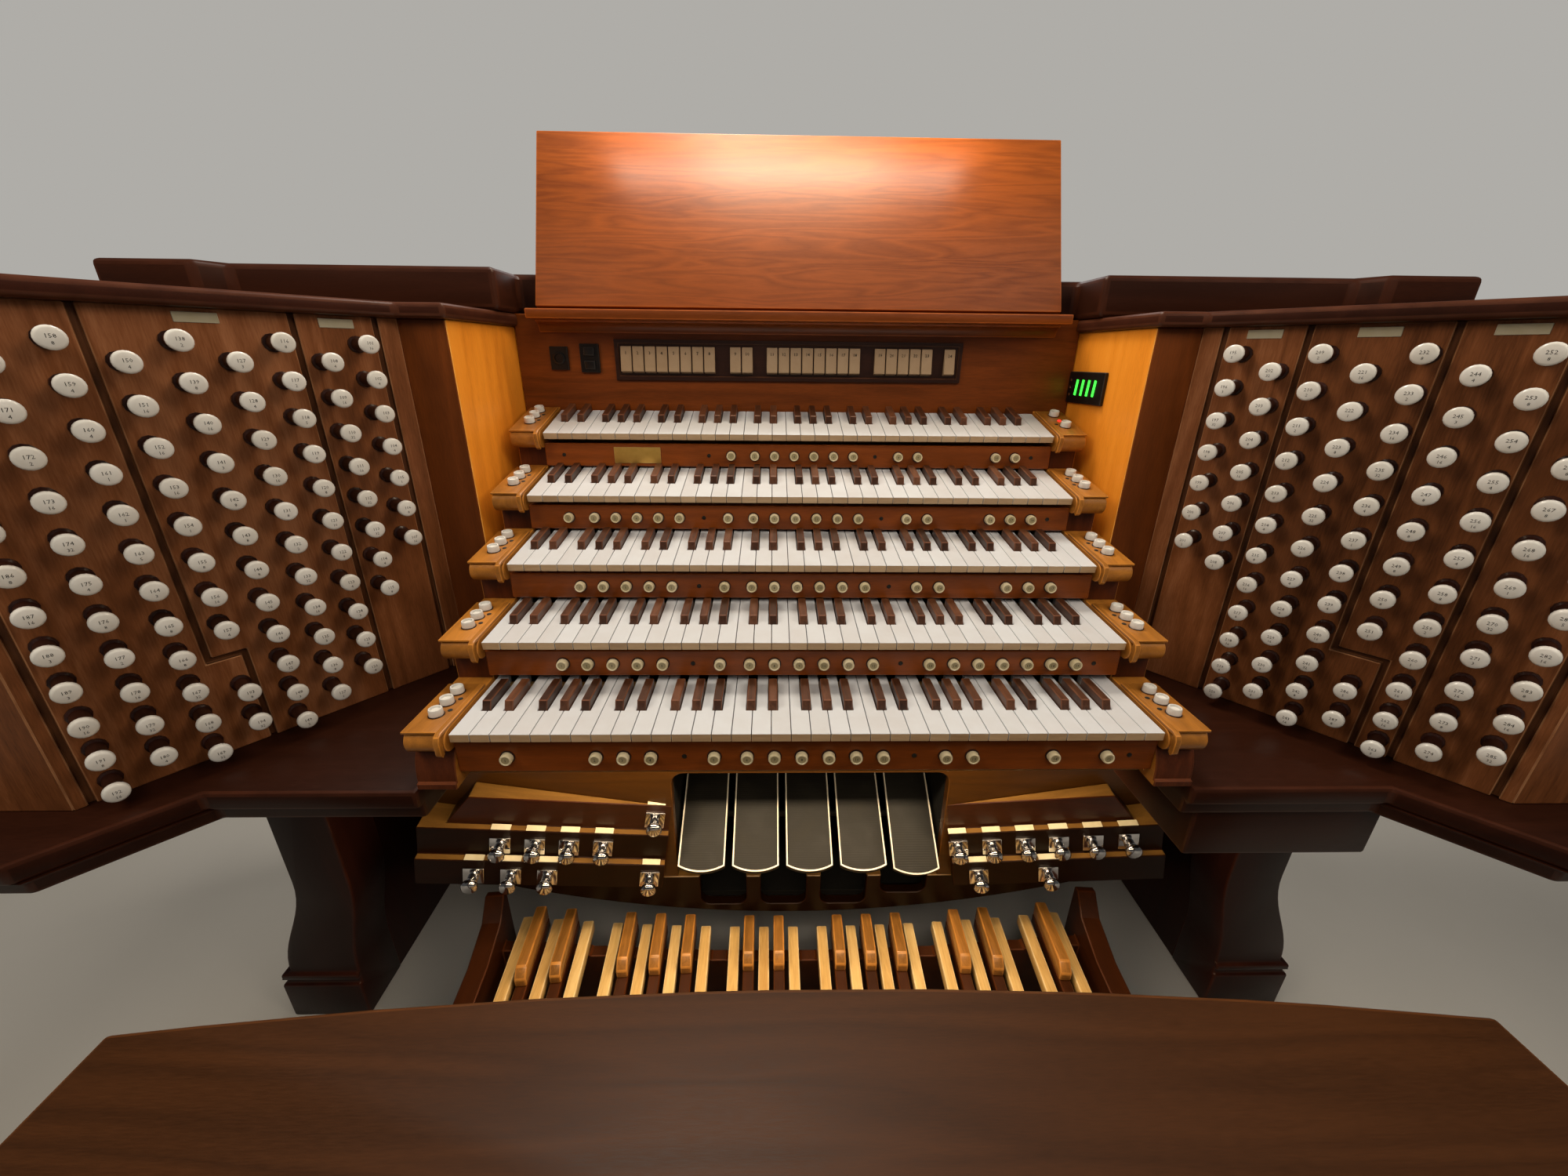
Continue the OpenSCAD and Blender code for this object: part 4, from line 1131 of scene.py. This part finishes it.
@dataclass
class NameboardParts:
    """Nameboard, tab tray, rocker tabs, switches, level display and music desk."""

    layout: Layout
    tab_middle: float = 1277.5
    tab_w: float = 18.5
    tab_pitch: float = 20.7
    tab_front: float = 8.2
    tab_lean: float = 8.0
    groups: tuple[Point2, ...] = ((-311, 8), (-121, 2), (-57, 8), (132, 5), (255, 1))
    number_h: float = 7.5
    number_up: float = 11.0
    switch_front: float = 5.0
    # The switch plates of the tray lie left of this
    plates_x: float = -340.0
    socket: Point2 = (-418.5, 1279.0)
    rocker_x: float = -365.5
    # Height and lean of each rocker
    rockers: tuple[Point2, ...] = ((1268.5, 6), (1290.5, -6))
    wall_more: float = 22.0
    display_y: float = 470.0
    display_z: float = 1240.0
    display_out: float = 6.6
    bars: int = 4
    bar_x: float = -28.0
    bar_pitch: float = 18.0
    bar_lean: float = 6.0
    button_x: float = -46.0
    button_heights: Point3 = (-12, 0, 12)

    def build(self) -> None:
        """Makes all parts of the nameboard and desk."""
        dress("nameboard", "brown_veneer", [RAIL], 1.0)
        dress("tab_tray", "black_trim", [TRAY, BLACK], 0.8,
              paint={1: lambda f: f.calc_center_median().x < self.plates_x * MM})
        # The tabs take the ivory darkened as painted shade of the nameboard's recess
        dress("rocker_tabs", "knob_white", [SHADED_TAB], 0.8, seed=51)
        self.build_tab_numbers()
        self.build_switches()
        self.build_display()
        dress("desk_ledge", "brown_veneer", [RAIL], 2.0, 2, 50)
        dress("music_desk", "cherry", [DESK], 2.2, 2)

    def build_tab_numbers(self) -> None:
        """Puts a plain number on each rocker tab."""
        lefts = [start + k * self.tab_pitch for start, count in self.groups for k in range(count)]
        y = self.layout.nameboard_y - self.tab_front
        lean = turn(90 + self.tab_lean, "X")
        parts = [(numeral(str(number), self.number_h),
                  [moved(x + self.tab_w / 2, y, self.tab_middle + self.number_up) @ lean])
                 for number, x in enumerate(lefts, 1)]
        Shape.gathered(parts).piece("tab_numbers", "black_trim", [INK])

    def build_switches(self) -> None:
        """Makes the socket and the rocker on the two switch plates."""
        front = self.layout.nameboard_y - self.switch_front
        ring = Shape.turned([(10.5, -1), (10.5, 1.5), (9.0, 2.2), (7.0, 2.2), (6.4, 0.6)], 20)
        ring.moved(moved(self.socket[0], front, self.socket[1]) @ turn(90, "X"))
        ring.piece("socket_ring", "black_trim", [BLACK], smooth=40)
        rocker = Shape.box((-9, -7, -1), (9, 7, 3), 1.2, 2)
        places = [moved(self.rocker_x, front, z) @ turn(90 + lean, "X") for z, lean in self.rockers]
        rocker.at_places(places).piece("switch_rockers", "black_trim", [BLACK])

    def build_display(self) -> None:
        """Makes the level display's bezel, four green bars and three buttons."""
        dress("level_display", "black_trim", [BLACK], 1.0)
        run = self.layout.nameboard_y + self.wall_more - self.layout.pilaster_y
        splay = self.layout.wall_splay
        back = self.display_y - self.layout.pilaster_y
        x = self.layout.wall_x - back * (splay / run) - self.display_out
        lean = turn(-90 + math.degrees(math.atan2(splay, run)), "Z")
        face = moved(x, self.display_y, self.display_z) @ lean @ turn(90, "X")
        bar = Shape.box((-3, -13, -0.3), (3, 13, 0.5), 0.2)
        bars = [face @ step(self.bar_x + k * self.bar_pitch, 0, 0) @ turn(-self.bar_lean, "Z")
                for k in range(self.bars)]
        bar.at_places(bars).piece("level_bars", "knob_white", [GREEN_LIGHT])
        button = Shape.turned([(2.6, -0.3), (2.6, 1.2), (1.8, 1.8)], 10)
        buttons = [face @ step(self.button_x, z, 0) for z in self.button_heights]
        button.at_places(buttons).piece("display_buttons", "stud_chrome", [CHROME], smooth=40)


@dataclass
class ToeBoards:
    """Knee panel, stepped toe boards with their studs and labels, and the kick rail."""

    layout: Layout
    recess_half: float = 272.0
    seat: float = 0.3
    tier_z: float = 456.0
    tier_h: float = 62.0
    tread_d: float = 15.0
    toe_turn: float = 6.6
    toe_rise: float = 9.5
    stud_share: float = 0.42
    label_up: float = 1.0
    label_lean: float = 14.0
    riser_slack: float = 1.0
    pier_top: float = 4.0
    left_studs: tuple[tuple[int, tuple[float, ...]], ...] = ((0, (31,)), (1, (125, 189, 252, 315)),
                                                             (2, (28, 224, 291, 358)))
    right_studs: tuple[tuple[int, tuple[float, ...]], ...] = ((1, (16, 82, 146, 209, 273, 338)),
                                                              (2, (51, 185)))

    def board(self, side: Side) -> Matrix:
        """Gives a toe board's own frame.

        Args:
            side: the board's side.

        Returns:
            The matrix.
        """
        x = self.recess_half + self.seat + side * self.layout.shoe_x
        place = moved(x, self.layout.knee_y - self.seat, self.tier_z)
        return on_side(side, place @ turn(-self.toe_rise, "Y") @ turn(-self.toe_turn, "Z"))

    def build(self) -> None:
        """Makes the panel, the boards, the rail and the recess, then the studs and labels."""
        dress("knee_panel", "brown_veneer", [KNEE], 1.5)
        left, right = (self.board(side).inverted() for side in Side)
        split = self.layout.shoe_x * MM
        # Painted shade: the lower tiers' risers take the darkened veneer; the tiers' tops take the golden
        # maple
        low = {2: lambda f: ((right if f.calc_center_median().x > split else left)
                             @ f.calc_center_median()).z / MM < self.riser_slack - self.tier_h,
               1: lambda f: f.normal.z > 0.9}
        dress("toe_boards", "brown_veneer", [RISER, TREAD, SHADED_RISER], 1.6, seed=61, paint=low)
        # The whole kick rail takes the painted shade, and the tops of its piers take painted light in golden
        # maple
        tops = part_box("kick_rail")[1].z - self.pier_top * MM
        dress("kick_rail", "brown_veneer", [SHADED_RISER, TREAD], 1.5, angle=45,
              paint={1: lambda f: f.normal.z > 0.7 and f.calc_center_median().z > tops})
        dress("shoe_box", "black_trim", [RECESS], 0.5)
        self.build_studs()

    def build_studs(self) -> None:
        """Makes the studs' plates and domes and the label over each."""
        studs, labels = [], []
        for side, rows in zip(Side, (self.left_studs, self.right_studs)):
            for tier, places in rows:
                for x in places:
                    face = self.board(side) @ step(x, -tier * self.tread_d, 0)
                    studs.append(face @ step(0, 0, -(tier + 1) * self.tier_h + self.tier_h * self.stud_share))
                    labels.append(face @ step(0, 0, self.label_up - tier * self.tier_h)
                                  @ turn(self.label_lean, "X"))
        plate = Shape.box((-19, -3.4, -19), (19, 0, 19), 1.6, 2).at_places(studs, 62)
        plate.piece("stud_plates", "stud_chrome", [CHROME], ["toe_studs"])
        dome = Shape.turned([(10, 0), (10, 13), (12, 14), (15, 21), (15.5, 24), (14.4, 27), (11, 29.5),
                             (6, 30.8)], 22)
        domes = dome.at_places([place @ step(0, -2, -2) @ turn(90, "X") for place in studs], 63)
        domes.piece("stud_domes", "stud_chrome", [CHROME], smooth=50)
        card = Shape.box((-17.5, 0, -0.5), (17.5, 11.5, 1.4), 0.4)
        card.at_places(labels, 64).piece("stud_labels", "knob_white", [LABEL])


@dataclass
class SwellShoes:
    """The five tilting expression shoes."""

    layout: Layout
    shoes: int = 5
    pitch: float = 108.5
    width: float = 93.0
    length: float = 280.0
    thick: float = 14.0
    heel: float = 133.0
    heel_r: float = 100.0
    heel_steps: int = 12
    drop: float = 26.0
    tilt: float = 26.0
    crescendo_tilt: float = 32.0
    shaft_y: float = 436.0
    shaft_z: float = 354.0
    trim_w: float = 2.8
    trim_h: float = 1.6
    trim_sunk: float = 0.5

    def outline(self) -> list[Point2]:
        """Gives the shoe's outline, square at the toe and with a shallow arc at the heel.

        Returns:
            The outline's corners, in millimetres.
        """
        half = self.width / 2
        spread = math.asin(half / self.heel_r)
        turns = [spread * (2 * k / self.heel_steps - 1) for k in range(self.heel_steps + 1)]
        heel = [(self.heel_r * math.sin(a), self.heel_r * (1 - math.cos(a)) - self.heel) for a in turns]
        toe = self.length - self.heel
        return heel + [(half, toe), (-half, toe)]

    def edging(self) -> Shape:
        """Makes the strip along the sides and heel of a shoe's pad, from Z = 0 up.

        Returns:
            The shape.
        """
        strip = Shape.flat(self.outline())
        pad = list(strip.bm.faces)
        ring = bmesh.ops.inset_region(strip.bm, faces=pad, thickness=self.trim_w * MM, depth=0.0,
                                      use_even_offset=True, use_boundary=True)
        bmesh.ops.delete(strip.bm, geom=pad, context="FACES_ONLY")
        toe = (self.length - self.heel) * MM
        flat = [f for f in ring["faces"] if all(v.co.y > toe - 2 * self.trim_w * MM for v in f.verts)]
        bmesh.ops.delete(strip.bm, geom=flat, context="FACES")
        return strip.raised(self.trim_h + self.trim_sunk)

    def build(self) -> None:
        """Makes each shoe's rubber and its bright edging."""
        for n in range(1, self.shoes + 1):
            body = "swell_shoe_%d" % n
            tilt = self.crescendo_tilt if n == self.shoes else self.tilt
            x = self.layout.shoe_x + (n - 3) * self.pitch
            place = moved(x, self.shaft_y, self.shaft_z) @ turn(tilt, "X")
            dress(body, "shoe_rubber", [SHOE], 1.2, 2, 50, name=body + "_rubber", body=body)
            edging = self.edging().moved(place @ step(0, 0, self.drop + self.thick - self.trim_sunk))
            edging.piece(body + "_edging", "knob_white", [EDGING], body=body)


@dataclass
class Pedalboard:
    """Pedals and their frame."""

    def build(self) -> None:
        """Eases each CAD form's edges and gives it its wood."""
        dress("pedal_naturals", "maple", [PEDAL], 2.5, 2, seed=71)
        dress("pedal_shanks", "rosewood", [CHEEK], 2.0, seed=72)
        dress("pedal_sharps", "rosewood", [PEDAL_SHARP], 3.0, 2, seed=73)
        dress("pedal_frame", "brown_veneer", [CHEEK], 2.0)


@dataclass
class Bench:
    """The bench's bowed top and its frame."""

    def build(self) -> None:
        """Eases the bench's edges and gives it its wood."""
        dress("bench_top", "dark_mahogany", [BENCH], 5.0, 3)
        dress("bench_frame", "dark_mahogany", [DARK_Z], 2.5, 2)


@dataclass(frozen=True)
class Lamp:
    """A soft rectangular lamp of the studio, in metres and watts.

    One that isn't glossy makes no highlights, and one that is off the floor doesn't light it.
    """

    name: str
    place: Point3
    aim: Point3
    size: Point2
    watts: float
    colour: str
    glossy: bool = True
    on_floor: bool = True

    def build(self, unlit: bpy.types.Collection) -> None:
        """Hangs the lamp.

        Args:
            unlit: what a lamp off the floor leaves dark.
        """
        lamp = bpy.data.lights.new(self.name, "AREA")
        lamp.shape = "RECTANGLE"
        lamp.size, lamp.size_y = self.size
        lamp.energy = self.watts
        lamp.color = linear(self.colour)[:3]
        holder = bpy.data.objects.new(self.name, lamp)
        holder.visible_glossy = self.glossy
        if not self.on_floor:
            holder.light_linking.receiver_collection = unlit
        bpy.context.scene.collection.objects.link(holder)
        place = Vector(self.place)
        facing = (Vector(self.aim) - place).to_track_quat("-Z", "Y").to_matrix().to_4x4()
        holder.matrix_world = Matrix.Translation(place) @ facing


@dataclass
class Stage:
    """Pale floor, soft studio light and the camera."""

    floor_half: float = 6.0
    floor_cells: int = 12
    air: str = "#d9d6d0"
    # The air's strength as light, and as the camera sees it
    air_strength: Point2 = (0.1, 0.62)
    eye: Point3 = (-46.6, -580.4, 1282.1)
    yaw: float = 1.2443
    pitch: float = 21.381
    roll: float = -0.6016
    lens: float = 13.451
    sensor_w: float = 36.0
    nearest: float = 0.02
    lamps: tuple[Lamp, ...] = (
        Lamp("key_light", (-0.25, 0.75, 3.0), (0, 0.05, 0.9), (0.6, 0.45), 22, "#fff6ea"),
        Lamp("front_light", (0.1, -1.5, 2.5), (0, 0, 0.8), (1.5, 1.2), 15, "#fff3e4", glossy=False),
        Lamp("left_side_light", (-1.1, -0.5, 2.1), (0.6, 0.25, 1.1), (0.7, 0.7), 11.5, "#fff0dc",
             glossy=False),
        Lamp("right_side_light", (1.1, -0.5, 2.1), (-0.6, 0.25, 1.1), (0.7, 0.7), 11, "#fff0dc",
             glossy=False),
        Lamp("desk_light", (0, 0.33, 1.98), (0, 0.47, 1.6), (0.5, 0.16), 3.8, "#ffe6c4"),
        Lamp("desk_lamp", (-0.02, 0.447, 1.665), (-0.02, 0.489, 1.582), (0.66, 0.03), 0.8, "#fff0dc"),
        Lamp("toe_lamp", (0, 0.148, 0.71), (0, 0.148, 0), (1.0, 0.03), 4.6, "#ffe2b8", on_floor=False),
        Lamp("pedal_light", (0, -0.2, 0.62), (0, -0.2, 0), (1.1, 0.08), 3.4, "#ffe2b8", on_floor=False),
        Lamp("back_light", (0.3, 2.4, 2.6), (0, 0.3, 1.1), (2.0, 2.0), 18, "#ffffff"))

    def build(self) -> None:
        """Makes the floor, the air, the lamps and the camera."""
        unlit = bpy.data.collections.new("unlit_by_lamps")
        unlit.objects.link(self.floor())
        unlit.collection_objects[0].light_linking.link_state = "EXCLUDE"
        self.air_light()
        for lamp in self.lamps:
            lamp.build(unlit)
        self.camera()

    def floor(self) -> bpy.types.Object:
        """Makes the pale floor.

        Returns:
            The object.
        """
        plane = Shape()
        bmesh.ops.create_grid(plane.bm, x_segments=self.floor_cells, y_segments=self.floor_cells,
                              size=self.floor_half)
        mesh = plane.mesh()
        mesh.materials.append(FLOOR.material())
        ground = bpy.data.objects.new("floor", mesh)
        bpy.context.scene.collection.objects.link(ground)
        return ground

    def air_light(self) -> None:
        """Makes the studio's air, weak as light and pale behind the console."""
        world = bpy.data.worlds.new("studio")
        world.use_nodes = True
        tree = world.node_tree
        seen = add_node(tree, "ShaderNodeLightPath").outputs["Is Camera Ray"]
        air = tree.nodes["Background"]
        air.inputs["Color"].default_value = linear(self.air)
        tree.links.new(ranged(tree, seen, end=self.air_strength), air.inputs["Strength"])
        bpy.context.scene.world = world
        bpy.context.scene.view_settings.view_transform = "Standard"

    def camera(self) -> None:
        """Sets the camera at the photograph's viewpoint, with its wide lens."""
        yaw, pitch, roll = (math.radians(a) for a in (self.yaw, self.pitch, self.roll))
        ahead = Vector((math.sin(yaw) * math.cos(pitch), math.cos(yaw) * math.cos(pitch), -math.sin(pitch)))
        right = Vector((math.cos(yaw), -math.sin(yaw), 0))
        down = ahead.cross(right)
        across = math.cos(roll) * right + math.sin(roll) * down
        under = -math.sin(roll) * right + math.cos(roll) * down
        data = bpy.data.cameras.new("camera")
        data.lens = self.lens
        data.sensor_width = self.sensor_w
        data.sensor_fit = "HORIZONTAL"
        data.clip_start = self.nearest
        holder = bpy.data.objects.new("camera", data)
        bpy.context.scene.collection.objects.link(holder)
        facing = Matrix((across, -under, -ahead)).transposed().to_4x4()
        holder.matrix_world = moved(*self.eye) @ facing
        bpy.context.scene.camera = holder


def main() -> None:
    """Builds the console's sub-assemblies in order."""
    logging.basicConfig(level=logging.INFO, format="%(name)s: %(message)s")
    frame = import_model()
    Packed.nodes = frame["nodes"]
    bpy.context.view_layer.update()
    layout = Layout()
    parts = [CaseWork(layout), StopJambs(layout), Manuals(layout), NameboardParts(layout), ToeBoards(layout),
             SwellShoes(layout), Pedalboard(), Bench(), Stage()]
    for part in parts:
        log.info("building %s", type(part).__name__)
        part.build()


if __name__ == "__main__":
    main()
